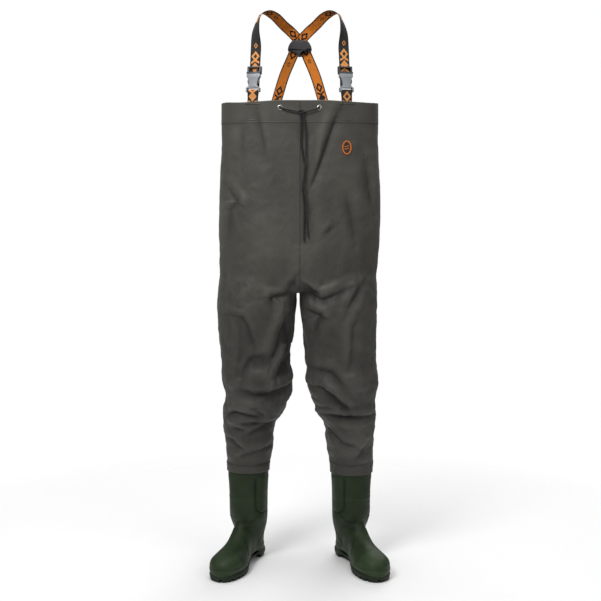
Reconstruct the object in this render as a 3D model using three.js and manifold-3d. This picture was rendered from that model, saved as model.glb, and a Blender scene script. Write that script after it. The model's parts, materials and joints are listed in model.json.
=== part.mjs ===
// Chest waders: a coated-fabric body welded to rubber boots, webbing braces with
// side-release buckles, and a drawcord in the chest hem.
//
// Millimetres. +X is the wearer's left, -Y the front and +Z up. The origin is on the
// ground, midway between the two boots.

import * as THREE from 'three';
import { mergeVertices } from 'three/addons/utils/BufferGeometryUtils.js';
import Module from 'manifold-3d';

const wasm = await Module();
wasm.setup();

// ---------------------------------------------------------------- driving dimensions

const clearance = 0.3; // between pieces that touch
const looseFit = 0.6; // between a flat piece and the curved one that it lies on
const seatMargin = 2.6; // behind the hem facing, whose flat sides lie inside its true curve

// Garment
const fabricWall = 3;
const rimHeight = 1350;
const hemDepth = 56;
const crotchHeight = 803;
const kneeHeight = 550;
const legEndHeight = 268;
const chestWidth = 444;
const chestDepth = 236;
const hipWidth = 458;
const hipDepth = 250;
const thighWidth = 215;
const thighDepth = 224;
const kneeWidth = 208;
const kneeDepth = 206;
const calfWidth = 153;
const calfDepth = 164;
const legSpacing = 308; // between the two boot shafts
const kneeSpacing = 249;
const thighSpacing = 241;
const torsoCentreY = 20;
const hipCentreY = 22;
const torsoSquareness = 2.4; // superellipse power, 2 is a plain ellipse
const legSquareness = 2.2;
const roundSquareness = 2;
const seamTapeWidth = 20;
const seamTapeThickness = 0.8;
const torsoSides = 32;
const roundSides = 20; // legs and boots, so that a boot turned by its toe-out still lines up

// Hem, drawcord and eyelets
const facingDepth = 8; // the tunnel and its inner layer
const facingLayer = 1.6;
const tunnelHeight = 13;
const tunnelCentreHeight = rimHeight - 17;
const cordDiameter = 4.5;
const cordSides = 8;
const eyeletSpacing = 108;
const eyeletRadius = 7.2;
const eyeletHoleRadius = 3.8;
const eyeletBarrel = 0.8;
const eyeletFlange = 1.2;
const washerThickness = 0.8;
const washerRadius = 5.7;
const cordStart = 11; // from an eyelet to where the cord enters the tunnel
const knotCentre = [6, -106.2, 1321.2];
const knotRadii = [10.5, 5.4, 9.2];

// Boots
const bootHeight = 285;
const bootLength = 302;
const bootBallWidth = 108;
const bootShaftRadius = 60;
const bootHeelReach = 72; // from the shaft's axis to the back of the heel
const bootWall = 4;
const bootLift = 26; // the upper's underside above the ground
const toeOut = 2 * Math.PI / roundSides; // 18 degrees
const soleLip = 3.5; // how far the outsole stands proud of the upper
const lugDepth = 7;
const lugPitch = 21;
const lugGroove = 5;
const archStart = 10; // front of the heel block, ahead of the shaft's axis
const archEnd = 62;
const liningThickness = 1.5;
const insoleThickness = 5;
const jointTapeWidth = 20;
const jointTapeThickness = 1;

// Braces
const webbingWidth = 30;
const webbingThickness = 2;
const braceHalfSpacing = 131; // from the centre to each front strap
const braceTilt = THREE.MathUtils.degToRad(8);
const buckleHeight = rimHeight + 30; // the socket's lower bar
const tabBottomHeight = rimHeight - 57;
const crossingHeight = rimHeight + 166;
const crossingY = 106;
const crossingTilt = THREE.MathUtils.degToRad(16);
const crossPatchWidth = 70;
const crossPatchHeight = 47;
const crossPatchThickness = 2;
const strapGap = 1.6; // between the two straps where they cross

// Buckles, in the buckle's own frame: z along the strap from the socket's lower bar
const buckleWidth = 40;
const buckleThickness = 11;
const buckleWall = 2;
const socketTop = 48;
const socketBar = 4.4;
const webbingSlot = 6;
const socketWaist = 24;
const plugBase = 5;
const ladderWindow = 16;
const ladderBar = 4;
const prongLength = 33;
const prongRootWidth = 5;
const railClearance = 0.6;

// Badge
const badgeWidth = 27;
const badgeHeight = 38;
const badgeThickness = 1.6;
const badgeStandoff = 3.4; // its front from the chest's curve, so that it clears the flat-sided panel
const badgeCentreX = 130;
const badgeCentreHeight = rimHeight - 126;

// ---------------------------------------------------------------- finishes

const finish = (color, roughness, metalness = 0) =>
  new THREE.MeshStandardMaterial({ color, roughness, metalness });

const fabricFinish = finish(0x4a4943, 0.75);
const tapeFinish = finish(0x3a3a36, 0.7);
const rubberFinish = finish(0x2d372a, 0.5);
const soleFinish = finish(0x262d24, 0.65);
const liningFinish = finish(0x6f7064, 0.9);
const insoleFinish = finish(0x8a8a80, 0.9);
const webbingFinish = finish(0xd87a22, 0.8);
const plasticFinish = finish(0x6c6f73, 0.4);
const patchFinish = finish(0x4a474c, 0.8);
const cordFinish = finish(0x181818, 0.85);
const metalFinish = finish(0xb9bbb8, 0.3, 0.9);
const badgeFinish = finish(0xc0763a, 0.6);

// ---------------------------------------------------------------- solid helpers

const waders = new THREE.Group();

function addMesh(parent, name, geometry, material) {
  const mesh = new THREE.Mesh(geometry, material);
  mesh.name = name;
  parent.add(mesh);
  return mesh;
}

function positionsOnly(geometry) {
  const bare = geometry.clone();
  bare.deleteAttribute('normal');
  bare.deleteAttribute('uv');
  return mergeVertices(bare, 1e-4);
}

function toSolid(geometry) {
  const bare = positionsOnly(geometry);
  const vertProperties = new Float32Array(bare.attributes.position.array);
  const triVerts = new Uint32Array(bare.index.array);
  return new wasm.Manifold(new wasm.Mesh({ numProp: 3, vertProperties, triVerts }));
}

function toGeometry(solid) {
  const mesh = solid.getMesh();
  const geometry = new THREE.BufferGeometry();
  geometry.setAttribute('position', new THREE.BufferAttribute(mesh.vertProperties, 3));
  geometry.setIndex(new THREE.BufferAttribute(mesh.triVerts, 1));
  geometry.computeVertexNormals();
  return geometry;
}

// A box between two corners.
function block(low, high) {
  const size = high.map((value, axis) => value - low[axis]);
  const middle = high.map((value, axis) => (value + low[axis]) / 2);
  return toSolid(new THREE.BoxGeometry(...size).translate(...middle));
}

const withoutAll = (solid, cuts) => cuts.reduce((rest, cut) => rest.subtract(cut), solid);
const joinAll = (solids) => solids.reduce((whole, next) => whole.add(next));
const lerp = THREE.MathUtils.lerp;

// One outline of a loft. front, back and half are measured from (x, y); heelRatio
// narrows the outline towards the back, as on the sole of a foot.
function outlinePoint(section, across, along) {
  const power = 2 / section.squareness;
  const reach = along < 0 ? section.front : section.back;
  const y = Math.sign(along) * Math.abs(along) ** power * reach;
  const fromBack = (section.back - y) / (section.back + section.front);
  const narrowing = lerp(section.heelRatio ?? 1, 1, THREE.MathUtils.smoothstep(fromBack, 0.2, 0.62));
  const x = Math.sign(across) * Math.abs(across) ** power * section.half * narrowing;
  return [section.x + x, section.y + y];
}

// A closed solid through level outlines, from the lowest to the highest.
function loft(sections, sides = roundSides) {
  const geometry = new THREE.CylinderGeometry(1, 1, 1, sides, sections.length - 1);
  const position = geometry.attributes.position;
  for (let i = 0; i < position.count; i++) {
    const level = Math.round((position.getY(i) + 0.5) * (sections.length - 1));
    const section = sections[level];
    const across = position.getX(i);
    const along = -position.getZ(i);
    const onAxis = Math.hypot(across, along) < 0.5;
    const [x, y] = onAxis ? [section.x, section.y] : outlinePoint(section, across, along);
    position.setXYZ(i, x, y, section.z);
  }
  return toSolid(geometry);
}

const oval = (z, x, y, half, halfDepth, squareness) =>
  ({ z, x, y, half, front: halfDepth, back: halfDepth, squareness });

const inset = (section, amount) => ({
  ...section,
  half: section.half - amount,
  front: section.front - amount,
  back: section.back - amount,
});

// A flat strip bent along control points. Each control holds a point and the
// direction that the strip's outer face looks in.
function ribbon(controls, width, thickness, steps) {
  const curve = new THREE.CatmullRomCurve3(controls.map((control) => control.point));
  const facing = new THREE.CatmullRomCurve3(controls.map((control) => control.normal));
  const geometry = new THREE.BoxGeometry(width, thickness, 1, 1, 1, steps);
  const position = geometry.attributes.position;
  for (let i = 0; i < position.count; i++) {
    const share = position.getZ(i) + 0.5;
    const t = curve.getUtoTmapping(share);
    const tangent = curve.getTangent(t);
    const outward = facing.getPoint(t);
    outward.addScaledVector(tangent, -outward.dot(tangent)).normalize();
    const sideways = new THREE.Vector3().crossVectors(outward, tangent);
    const place = curve.getPoint(t);
    place.addScaledVector(sideways, position.getX(i));
    place.addScaledVector(outward, position.getY(i));
    position.setXYZ(i, place.x, place.y, place.z);
  }
  return geometry;
}

// A round cord along points, cut square at both ends.
function cordTube(points, steps) {
  const section = new THREE.Shape();
  for (let side = 0; side < cordSides; side++) {
    const angle = (2 * Math.PI * side) / cordSides;
    const corner = [Math.cos(angle) * cordDiameter / 2, Math.sin(angle) * cordDiameter / 2];
    if (side === 0) section.moveTo(...corner);
    else section.lineTo(...corner);
  }
  const path = new THREE.CatmullRomCurve3(points.map((point) => new THREE.Vector3(...point)));
  return new THREE.ExtrudeGeometry(section, { steps, bevelEnabled: false, extrudePath: path });
}

// ---------------------------------------------------------------- garment shell

const shaftX = legSpacing / 2;

function soleOutline(z, reachLoss, widthLoss, heelRatio) {
  return {
    z,
    x: 0,
    y: 0,
    half: bootBallWidth / 2 - widthLoss,
    front: bootLength - bootHeelReach - reachLoss,
    back: bootHeelReach - widthLoss,
    heelRatio,
    squareness: 2.4,
  };
}

// The boots stand with their toes and heels equally far from the origin.
function bootSpan() {
  const outline = inset(soleOutline(0, 0, 0, 0.74), -soleLip);
  const reach = [];
  for (let degree = 0; degree < 360; degree += 360 / roundSides) {
    const angle = THREE.MathUtils.degToRad(degree);
    const [x, y] = outlinePoint(outline, Math.sin(angle), -Math.cos(angle));
    reach.push(x * Math.sin(toeOut) + y * Math.cos(toeOut));
  }
  return [Math.min(...reach), Math.max(...reach)];
}
const [toeReach, heelReach] = bootSpan();
const shaftY = -(toeReach + heelReach) / 2;

const torsoSections = [
  oval(crotchHeight, 0, hipCentreY + 4, hipWidth * 0.39, hipDepth * 0.16, torsoSquareness),
  oval(crotchHeight + 17, 0, hipCentreY + 4, hipWidth * 0.45, hipDepth * 0.32, torsoSquareness),
  oval(crotchHeight + 42, 0, hipCentreY + 2, hipWidth * 0.485, hipDepth * 0.43, torsoSquareness),
  oval(crotchHeight + 82, 0, hipCentreY, hipWidth * 0.497, hipDepth * 0.485, torsoSquareness),
  oval(lerp(crotchHeight, rimHeight, 0.28), 0, hipCentreY, hipWidth / 2, hipDepth / 2,
    torsoSquareness),
  oval(lerp(crotchHeight, rimHeight, 0.52), 0, hipCentreY, hipWidth / 2, hipDepth * 0.494,
    torsoSquareness),
  oval(lerp(crotchHeight, rimHeight, 0.72), 0, lerp(hipCentreY, torsoCentreY, 0.5),
    lerp(hipWidth, chestWidth, 0.4) / 2, lerp(hipDepth, chestDepth, 0.5) / 2, torsoSquareness),
  oval(rimHeight - hemDepth, 0, torsoCentreY, chestWidth / 2 + 1, chestDepth / 2, torsoSquareness),
  oval(rimHeight, 0, torsoCentreY, chestWidth / 2, chestDepth / 2, torsoSquareness),
];

const legEndRadius = bootShaftRadius + clearance + fabricWall;
const legSections = [
  oval(legEndHeight, shaftX, shaftY, legEndRadius, legEndRadius, roundSquareness),
  oval(bootHeight + 6, shaftX, shaftY, legEndRadius, legEndRadius, roundSquareness),
  oval(bootHeight + 37, shaftX - 3, shaftY - 1, legEndRadius + 2, legEndRadius + 5, legSquareness),
  oval(lerp(legEndHeight, kneeHeight, 0.36), shaftX - 5, shaftY - 4,
    calfWidth / 2 - 5, calfDepth / 2 - 6, legSquareness),
  oval(lerp(legEndHeight, kneeHeight, 0.53), shaftX - 4, shaftY - 9, calfWidth / 2, calfDepth / 2,
    legSquareness),
  oval(lerp(legEndHeight, kneeHeight, 0.63), lerp(shaftX, kneeSpacing / 2, 0.45), shaftY - 16,
    lerp(calfWidth, kneeWidth, 0.36) / 2, lerp(calfDepth, kneeDepth, 0.32) / 2, legSquareness),
  oval(lerp(legEndHeight, kneeHeight, 0.79), kneeSpacing / 2 + 4, shaftY - 22,
    lerp(calfWidth, kneeWidth, 0.55) / 2, lerp(calfDepth, kneeDepth, 0.65) / 2, legSquareness),
  oval(kneeHeight, kneeSpacing / 2, shaftY - 30, kneeWidth / 2, kneeDepth / 2, legSquareness),
  oval(kneeHeight + 60, kneeSpacing / 2, hipCentreY + 20, kneeWidth / 2 - 2, kneeDepth / 2 + 2,
    legSquareness),
  oval(lerp(kneeHeight, crotchHeight, 0.61), thighSpacing / 2, hipCentreY + 12, thighWidth / 2,
    thighDepth / 2, legSquareness),
  oval(crotchHeight - 27, thighSpacing / 2 - 3, hipCentreY + 8, hipWidth / 4, thighDepth / 2 + 3,
    legSquareness),
  oval(crotchHeight + 40, hipWidth / 4 - 1, hipCentreY + 5, hipWidth / 4, thighDepth / 2 - 1,
    legSquareness),
  oval(crotchHeight + 102, hipWidth / 4 - 3, hipCentreY + 3, hipWidth / 4 - 9, thighDepth / 2 - 9,
    legSquareness),
];

const mirrored = (sections) => sections.map((section) => ({ ...section, x: -section.x }));

// Ends of an inner surface are pushed out past the fabric, so that the shell is open.
function openEnds(sections, amount, bottomLift, topLift) {
  return sections.map((section, index) => {
    const lift = index === 0 ? bottomLift : index === sections.length - 1 ? topLift : 0;
    return { ...inset(section, amount), z: section.z + lift };
  });
}

// The whole trouser shape, taken in by an amount all round.
function garmentSolid(amount) {
  const opening = amount > 0 ? 5 : 0;
  const torso = loft(openEnds(torsoSections, amount, amount, opening), torsoSides);
  const leg = openEnds(legSections, amount, -opening, -amount);
  return joinAll([torso, loft(leg), loft(mirrored(leg))]);
}

const far = 2000;
const outerSurface = garmentSolid(0);
const innerSurface = garmentSolid(fabricWall);
const fabricShell = outerSurface.subtract(innerSurface);

// The side seams run in one plane, leaning back from the chest to the boots.
const seamLean = Math.atan2(shaftY - torsoCentreY, rimHeight - legEndHeight);
function behindSideSeam(offset) {
  const slab = new THREE.BoxGeometry(far, far, 2 * far);
  slab.translate(0, far / 2 + offset, 0);
  slab.rotateX(seamLean);
  slab.translate(0, torsoCentreY, rimHeight);
  return toSolid(slab);
}

const halfGap = clearance / 2;
const backHalf = behindSideSeam(halfGap);
const frontCut = behindSideSeam(-halfGap);

// Chest surface at a height near the rim: where it is, and which way it looks.
function chestSeat(x, depth, facing) {
  const half = chestWidth / 2 - depth;
  const reach = chestDepth / 2 - depth;
  const share = Math.abs(x) / half;
  const fall = (1 - share ** torsoSquareness) ** (1 / torsoSquareness);
  const steepness = (share / fall) ** (torsoSquareness - 1) * (reach / half);
  const yaw = Math.atan(steepness) * Math.sign(x);
  return { y: torsoCentreY + facing * reach * fall, yaw };
}

// Eyelet seats: the middle of each hole on the fabric's outer face.
const eyeletX = eyeletSpacing / 2;
const eyeletSeat = chestSeat(eyeletX, 0, -1);
const eyeletSeatY = eyeletSeat.y - looseFit;
const barrelRadius = eyeletHoleRadius + eyeletBarrel;

function eyeletPlaced(geometry, side) {
  return geometry
    .rotateZ(side * eyeletSeat.yaw)
    .translate(side * eyeletX, eyeletSeatY, tunnelCentreHeight);
}

const eyeletHole = (side) => toSolid(eyeletPlaced(
  new THREE.CylinderGeometry(barrelRadius + clearance, barrelRadius + clearance, 20, 16), side));

for (const side of [-1, 1]) {
  const sideName = side < 0 ? 'right' : 'left';
  const halfSpace = block(
    [side < 0 ? -far : halfGap, -far, -far],
    [side < 0 ? -halfGap : far, far, far],
  );
  const half = fabricShell.intersect(halfSpace);
  const front = half.subtract(frontCut).subtract(eyeletHole(side));
  addMesh(waders, `front_panel_${sideName}`, toGeometry(front), fabricFinish);
  addMesh(waders, `back_panel_${sideName}`, toGeometry(half.intersect(backHalf)), fabricFinish);
}

// ---------------------------------------------------------------- seam tapes

const tapeOuter = fabricWall + clearance;
const tapeShell = garmentSolid(tapeOuter).subtract(garmentSolid(tapeOuter + seamTapeThickness));
const tapeTop = rimHeight - hemDepth - 4;
const centreTapeBottom = crotchHeight - 20;

const centreTape = tapeShell.intersect(block(
  [-seamTapeWidth / 2, -far, crotchHeight + 10],
  [seamTapeWidth / 2, far, tapeTop],
));
for (const piece of centreTape.decompose()) {
  const box = piece.boundingBox();
  const place = (box.min[1] + box.max[1]) / 2 < torsoCentreY ? 'front' : 'back';
  addMesh(waders, `seam_tape_${place}`, toGeometry(piece), tapeFinish);
}

const sideBand = behindSideSeam(-seamTapeWidth / 2).subtract(behindSideSeam(seamTapeWidth / 2));
const sideTape = tapeShell.intersect(sideBand);
for (const side of [-1, 1]) {
  const sideName = side < 0 ? 'right' : 'left';
  const outerZone = side < 0 ? [-far, -shaftX - 5] : [shaftX + 5, far];
  const outer = sideTape.intersect(block(
    [outerZone[0], -far, bootHeight + 8],
    [outerZone[1], far, tapeTop],
  ));
  addMesh(waders, `side_seam_tape_${sideName}`, toGeometry(outer), tapeFinish);
  const innerZone = side < 0 ? [-shaftX + 12, -14] : [14, shaftX - 12];
  const inner = sideTape.intersect(block(
    [innerZone[0], -far, bootHeight + 8],
    [innerZone[1], far, centreTapeBottom],
  ));
  addMesh(waders, `inseam_tape_${sideName}`, toGeometry(inner), tapeFinish);
}

// ---------------------------------------------------------------- hem facing and tunnel

const facingOuter = fabricWall + clearance;
const facingInner = facingOuter + facingDepth;
function hemRing(outerDepth, innerDepth, bottom, top) {
  const level = (depth, z) =>
    oval(z, 0, torsoCentreY, chestWidth / 2 - depth, chestDepth / 2 - depth, torsoSquareness);
  const outer = loft([level(outerDepth, bottom), level(outerDepth, top)], torsoSides);
  const inner = loft([level(innerDepth, bottom - 1), level(innerDepth, top + 1)], torsoSides);
  return outer.subtract(inner);
}
const hemBottom = rimHeight - hemDepth + 1;
const tunnel = hemRing(
  facingOuter - 1,
  facingInner - facingLayer,
  tunnelCentreHeight - tunnelHeight / 2,
  tunnelCentreHeight + tunnelHeight / 2,
);
const hemFacing = hemRing(facingOuter, facingInner, hemBottom, rimHeight).subtract(tunnel);
addMesh(waders, 'hem_facing', toGeometry(hemFacing), fabricFinish);

// ---------------------------------------------------------------- eyelets

const eyeletDepth = looseFit + fabricWall + clearance + washerThickness + clearance;
for (const side of [-1, 1]) {
  const sideName = side < 0 ? 'right' : 'left';
  const profile = [
    [eyeletHoleRadius, -eyeletFlange],
    [eyeletRadius - 1, -eyeletFlange],
    [eyeletRadius, -eyeletFlange / 2],
    [eyeletRadius, 0],
    [barrelRadius, 0],
    [barrelRadius, eyeletDepth],
    [eyeletHoleRadius, eyeletDepth],
    [eyeletHoleRadius, -eyeletFlange],
  ].map(([radius, depth]) => new THREE.Vector2(radius, depth));
  const eyelet = eyeletPlaced(new THREE.LatheGeometry(profile, 16), side);
  addMesh(waders, `eyelet_${sideName}`, eyelet, metalFinish);
  const washerStart = eyeletDepth - washerThickness;
  const washerProfile = [
    [barrelRadius + clearance, washerStart],
    [washerRadius, washerStart],
    [washerRadius, eyeletDepth],
    [barrelRadius + clearance, eyeletDepth],
    [barrelRadius + clearance, washerStart],
  ].map(([radius, depth]) => new THREE.Vector2(radius, depth));
  const washer = eyeletPlaced(new THREE.LatheGeometry(washerProfile, 16), side);
  addMesh(waders, `eyelet_washer_${sideName}`, washer, metalFinish);
}

// ---------------------------------------------------------------- drawcord

// In the hem tunnel, from beside one eyelet round the back to the other.
const cordDepth = facingInner - facingLayer - cordDiameter / 2 - looseFit;
const cordRing = [];
const cordRingSteps = 26;
const startAngle = Math.asin((eyeletX + cordStart) / (chestWidth / 2 - cordDepth));
for (let step = 0; step <= cordRingSteps; step++) {
  const angle = lerp(startAngle, 2 * Math.PI - startAngle, step / cordRingSteps);
  const section = oval(0, 0, torsoCentreY, chestWidth / 2 - cordDepth, chestDepth / 2 - cordDepth,
    torsoSquareness);
  const [x, y] = outlinePoint(section, Math.sin(angle), -Math.cos(angle));
  cordRing.push([x, y, tunnelCentreHeight]);
}
addMesh(waders, 'drawcord_in_hem', cordTube(cordRing, 70), cordFinish);

// From the tunnel out through each eyelet to the knot, then the hanging tails.
const cordFromEyelet = {
  right: [
    [-62, -88.9, 1333], [-58, -88.8, 1333], [-55, -89.8, 1333], [-54, -92.6, 1333],
    [-54, -97, 1333], [-53.4, -100.4, 1332.6], [-50.5, -103, 1331.6], [-44, -104.4, 1329.6],
    [-32, -105.2, 1326.4], [-22, -105.8, 1324.4], [-12, -106, 1323],
  ],
  left: [
    [62, -88.9, 1333], [58, -88.8, 1333], [55, -89.8, 1333], [54, -92.6, 1333],
    [54, -97, 1333], [53.6, -100.4, 1332.6], [51.5, -103, 1331.4], [46, -104.4, 1329],
    [38, -105.2, 1326.6], [31, -105.8, 1324.6], [24, -106, 1323],
  ],
};
const cordTail = {
  right: [
    [2, -106, 1311.5], [4, -105.4, 1290], [2.5, -105.2, 1262], [3, -105.2, 1235],
    [7, -105.2, 1210], [11, -105.4, 1188], [14.5, -105.6, 1172], [13.5, -105.8, 1155],
    [9, -106, 1130], [7.5, -106, 1107], [10, -106.2, 1085], [12.2, -106.4, 1060],
    [12.2, -106.6, 1030], [11.6, -107, 1000], [12, -107.2, 965],
  ],
  left: [
    [10, -106, 1311.5], [13, -105.6, 1290], [16, -105.8, 1262], [16.6, -106.6, 1235],
    [16, -108.4, 1210], [15.4, -110.6, 1188], [13.6, -111.6, 1165], [12, -111.8, 1145],
    [12.4, -111.4, 1120], [14.4, -110.2, 1095], [17.2, -108.8, 1065], [18.6, -107.8, 1040],
    [20.4, -107.4, 1010], [24, -107.4, 977],
  ],
};
for (const sideName of ['right', 'left']) {
  addMesh(waders, `drawcord_front_${sideName}`, cordTube(cordFromEyelet[sideName], 20), cordFinish);
  addMesh(waders, `drawcord_tail_${sideName}`, cordTube(cordTail[sideName], 34), cordFinish);
}
const knot = new THREE.SphereGeometry(1, 16, 12).scale(...knotRadii).translate(...knotCentre);
// Where the four cord ends meet it.
const knotSeats = [
  block([-12.4, -112, 1316], [-4, -98, 1330]),
  block([16, -112, 1316], [24.4, -98, 1330]),
  block([-4, -112, 1308], [16, -98, 1312]),
];
addMesh(waders, 'drawcord_knot', toGeometry(withoutAll(toSolid(knot), knotSeats)), cordFinish);

// ---------------------------------------------------------------- badge

const badgeShape = new THREE.Shape();
badgeShape.absellipse(0, 0, badgeWidth / 2, badgeHeight / 2, 0, 2 * Math.PI);
const badgeSeat = chestSeat(badgeCentreX, 0, -1);
const badge = new THREE.ExtrudeGeometry(badgeShape, {
  depth: badgeThickness,
  bevelEnabled: false,
  curveSegments: 10,
});
badge.rotateX(Math.PI / 2);
badge.rotateZ(badgeSeat.yaw);
badge.translate(badgeCentreX, badgeSeat.y - badgeStandoff, badgeCentreHeight);
addMesh(waders, 'badge', badge, badgeFinish);

// ---------------------------------------------------------------- boots

function bootSections() {
  return [
    soleOutline(bootLift, 4, 3, 0.74),
    soleOutline(bootLift + 16, 0, 0.5, 0.74),
    soleOutline(bootLift + 36, 3, 1, 0.75),
    soleOutline(bootLift + 54, 22, 4, 0.77),
    soleOutline(bootLift + 68, 66, 5, 0.8),
    soleOutline(bootLift + 84, 108, 4, 0.85),
    soleOutline(bootLift + 104, 140, 3, 0.92),
    oval(bootLift + 128, 0, 1, 49, 64, 2.2),
    oval(bootLift + 164, 0, 1, 52, 63, 2.1),
    oval(lerp(bootLift, bootHeight, 0.83), 0, 0, bootShaftRadius - 1, bootShaftRadius - 0.5,
      roundSquareness),
    oval(legEndHeight - 14, 0, 0, bootShaftRadius, bootShaftRadius, roundSquareness),
    oval(bootHeight, 0, 0, bootShaftRadius, bootShaftRadius, roundSquareness),
  ];
}

// The boot's inside, taken in by an amount, from its floor up past the top.
function bootInside(amount) {
  const sections = bootSections().map((section) => inset(section, amount));
  sections[0].z += amount;
  sections[sections.length - 1].z += 5;
  return loft(sections);
}

function bootUpper() {
  return loft(bootSections()).subtract(bootInside(bootWall));
}

const liningOuter = bootWall + clearance;
const liningInner = liningOuter + liningThickness;
function bootLining() {
  const top = bootHeight - 6;
  const lining = bootInside(liningOuter).subtract(bootInside(liningInner));
  return lining.intersect(block([-far, -far, 0], [far, far, top]));
}

function bootInsole() {
  const depth = liningInner + clearance + 1;
  const low = bootLift + liningInner + clearance;
  const outline = (z) => inset(soleOutline(z, 4, 3, 0.74), depth);
  return loft([outline(low), outline(low + insoleThickness)]);
}

function bootOutsole() {
  const edge = (z, lip) => inset(soleOutline(z, 0, 0, 0.74), -lip);
  const top = bootLift - clearance;
  const slab = loft([edge(0, soleLip - 2.5), edge(lugDepth, soleLip - 1), edge(lugDepth + 3, soleLip),
    edge(top, soleLip - 0.5)]);
  const cuts = [block([-far, -archEnd, -1], [far, -archStart, lugDepth + 4])];
  for (let y = -archEnd - lugPitch; y > -(bootLength - bootHeelReach); y -= lugPitch) {
    cuts.push(block([-far, y, -1], [far, y + lugGroove, lugDepth - 1]));
  }
  for (let y = -archStart + lugPitch; y < bootHeelReach - lugGroove; y += lugPitch) {
    cuts.push(block([-far, y, -1], [far, y + lugGroove, lugDepth - 1]));
  }
  return withoutAll(slab, cuts);
}

for (const side of [-1, 1]) {
  const sideName = side < 0 ? 'right' : 'left';
  const boot = new THREE.Group();
  boot.position.set(side * shaftX, shaftY, 0);
  boot.rotation.z = side * toeOut;
  waders.add(boot);
  addMesh(boot, `boot_upper_${sideName}`, toGeometry(bootUpper()), rubberFinish);
  addMesh(boot, `boot_lining_${sideName}`, toGeometry(bootLining()), liningFinish);
  addMesh(boot, `insole_${sideName}`, toGeometry(bootInsole()), insoleFinish);
  addMesh(boot, `outsole_${sideName}`, toGeometry(bootOutsole()), soleFinish);

  const tapeRadius = legEndRadius + clearance;
  const round = (radius, z) => oval(z, side * shaftX, shaftY, radius, radius, roundSquareness);
  const tapeBottom = legEndHeight + 1;
  const tapeRise = tapeBottom + jointTapeWidth;
  const jointTape = loft([
    round(tapeRadius + jointTapeThickness, tapeBottom),
    round(tapeRadius + jointTapeThickness, tapeRise),
  ]).subtract(loft([round(tapeRadius, tapeBottom - 1), round(tapeRadius, tapeRise + 1)]));
  addMesh(waders, `boot_joint_tape_${sideName}`, toGeometry(jointTape), tapeFinish);
}

// ---------------------------------------------------------------- buckles and tabs

const halfWeb = webbingWidth / 2;
const halfBuckle = buckleWidth / 2;
const railInner = halfWeb + railClearance;
const halfThick = buckleThickness / 2;
const cavityHalf = halfThick - buckleWall;
const slotTop = socketBar / 2 + webbingSlot;
const slideGap = 0.4; // round every face that slides
const mouthInset = 3;
const mouthHalf = halfBuckle - mouthInset;
const ladderRail = 2.6;
const ladderStep = 3; // from the plug's base to the rear bar
const tongueHalf = 3.5;
const tongueLength = 24;
const plugBottom = socketTop + 0.5;
const ladderBottom = plugBottom + plugBase;
const ladderTop = ladderBottom + ladderWindow;

// The strap's plane behind the buckle, and the tab's behind the hem facing.
const strapPlane = halfThick + 0.5 + webbingThickness / 2;
const tabHalf = webbingThickness + slideGap;
const tabSeat = chestSeat(braceHalfSpacing, facingInner, -1);
const tabY = tabSeat.y + tabHalf + seatMargin;
const barSetBack = (buckleHeight - rimHeight) * Math.tan(braceTilt);

function extrudedFront(shape, depth) {
  const geometry = new THREE.ExtrudeGeometry(shape, { depth, bevelEnabled: false, curveSegments: 6 });
  return geometry.rotateX(Math.PI / 2).translate(0, depth / 2, 0);
}

function socketSolid() {
  const waistHalf = socketWaist / 2;
  const shape = new THREE.Shape();
  shape.moveTo(-halfBuckle, -socketBar / 2);
  shape.lineTo(halfBuckle, -socketBar / 2);
  shape.lineTo(halfBuckle, slotTop + 1);
  shape.quadraticCurveTo(waistHalf + 1, slotTop + 3, waistHalf, slotTop + 10);
  shape.quadraticCurveTo(waistHalf + 0.5, socketTop - 14, halfBuckle - 0.8, socketTop - 9);
  shape.lineTo(halfBuckle - 0.8, socketTop);
  shape.lineTo(-halfBuckle + 0.8, socketTop);
  shape.lineTo(-halfBuckle + 0.8, socketTop - 9);
  shape.quadraticCurveTo(-waistHalf - 0.5, socketTop - 14, -waistHalf, slotTop + 10);
  shape.quadraticCurveTo(-waistHalf - 1, slotTop + 3, -halfBuckle, slotTop + 1);
  shape.closePath();
  const body = toSolid(extrudedFront(shape, buckleThickness));
  const bar = new THREE.CylinderGeometry(socketBar / 2, socketBar / 2, 2 * railInner + 2, 12);
  return withoutAll(body, [
    block([-mouthHalf, -cavityHalf, slotTop + 3], [mouthHalf, cavityHalf, socketTop + 1]),
    block([-railInner, -far, -far], [railInner, far, slotTop]),
  ]).add(toSolid(bar.rotateZ(Math.PI / 2)));
}

function plugSolid() {
  const base = block([-halfBuckle, -halfThick, plugBottom], [halfBuckle, halfThick, ladderBottom]);
  const frameFront = strapPlane - webbingThickness / 2 - slideGap;
  const frameBack = strapPlane + webbingThickness / 2 + slideGap;
  const rails = [-1, 1].map((side) => block(
    [side < 0 ? -halfBuckle : railInner, -1, plugBottom],
    [side < 0 ? -railInner : halfBuckle, frameBack + ladderRail, ladderTop],
  ));
  const topBar = block([-halfBuckle, -1, ladderTop - ladderBar], [halfBuckle, frameFront, ladderTop]);
  const midBar = block(
    [-halfBuckle, frameBack, ladderBottom + ladderStep],
    [halfBuckle, frameBack + ladderRail, ladderBottom + ladderStep + ladderBar],
  );
  const tongue = block(
    [-tongueHalf, -cavityHalf + slideGap, plugBottom - tongueLength],
    [tongueHalf, cavityHalf - slideGap, plugBottom],
  );
  return joinAll([base, ...rails, topBar, midBar, tongue]);
}

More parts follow.
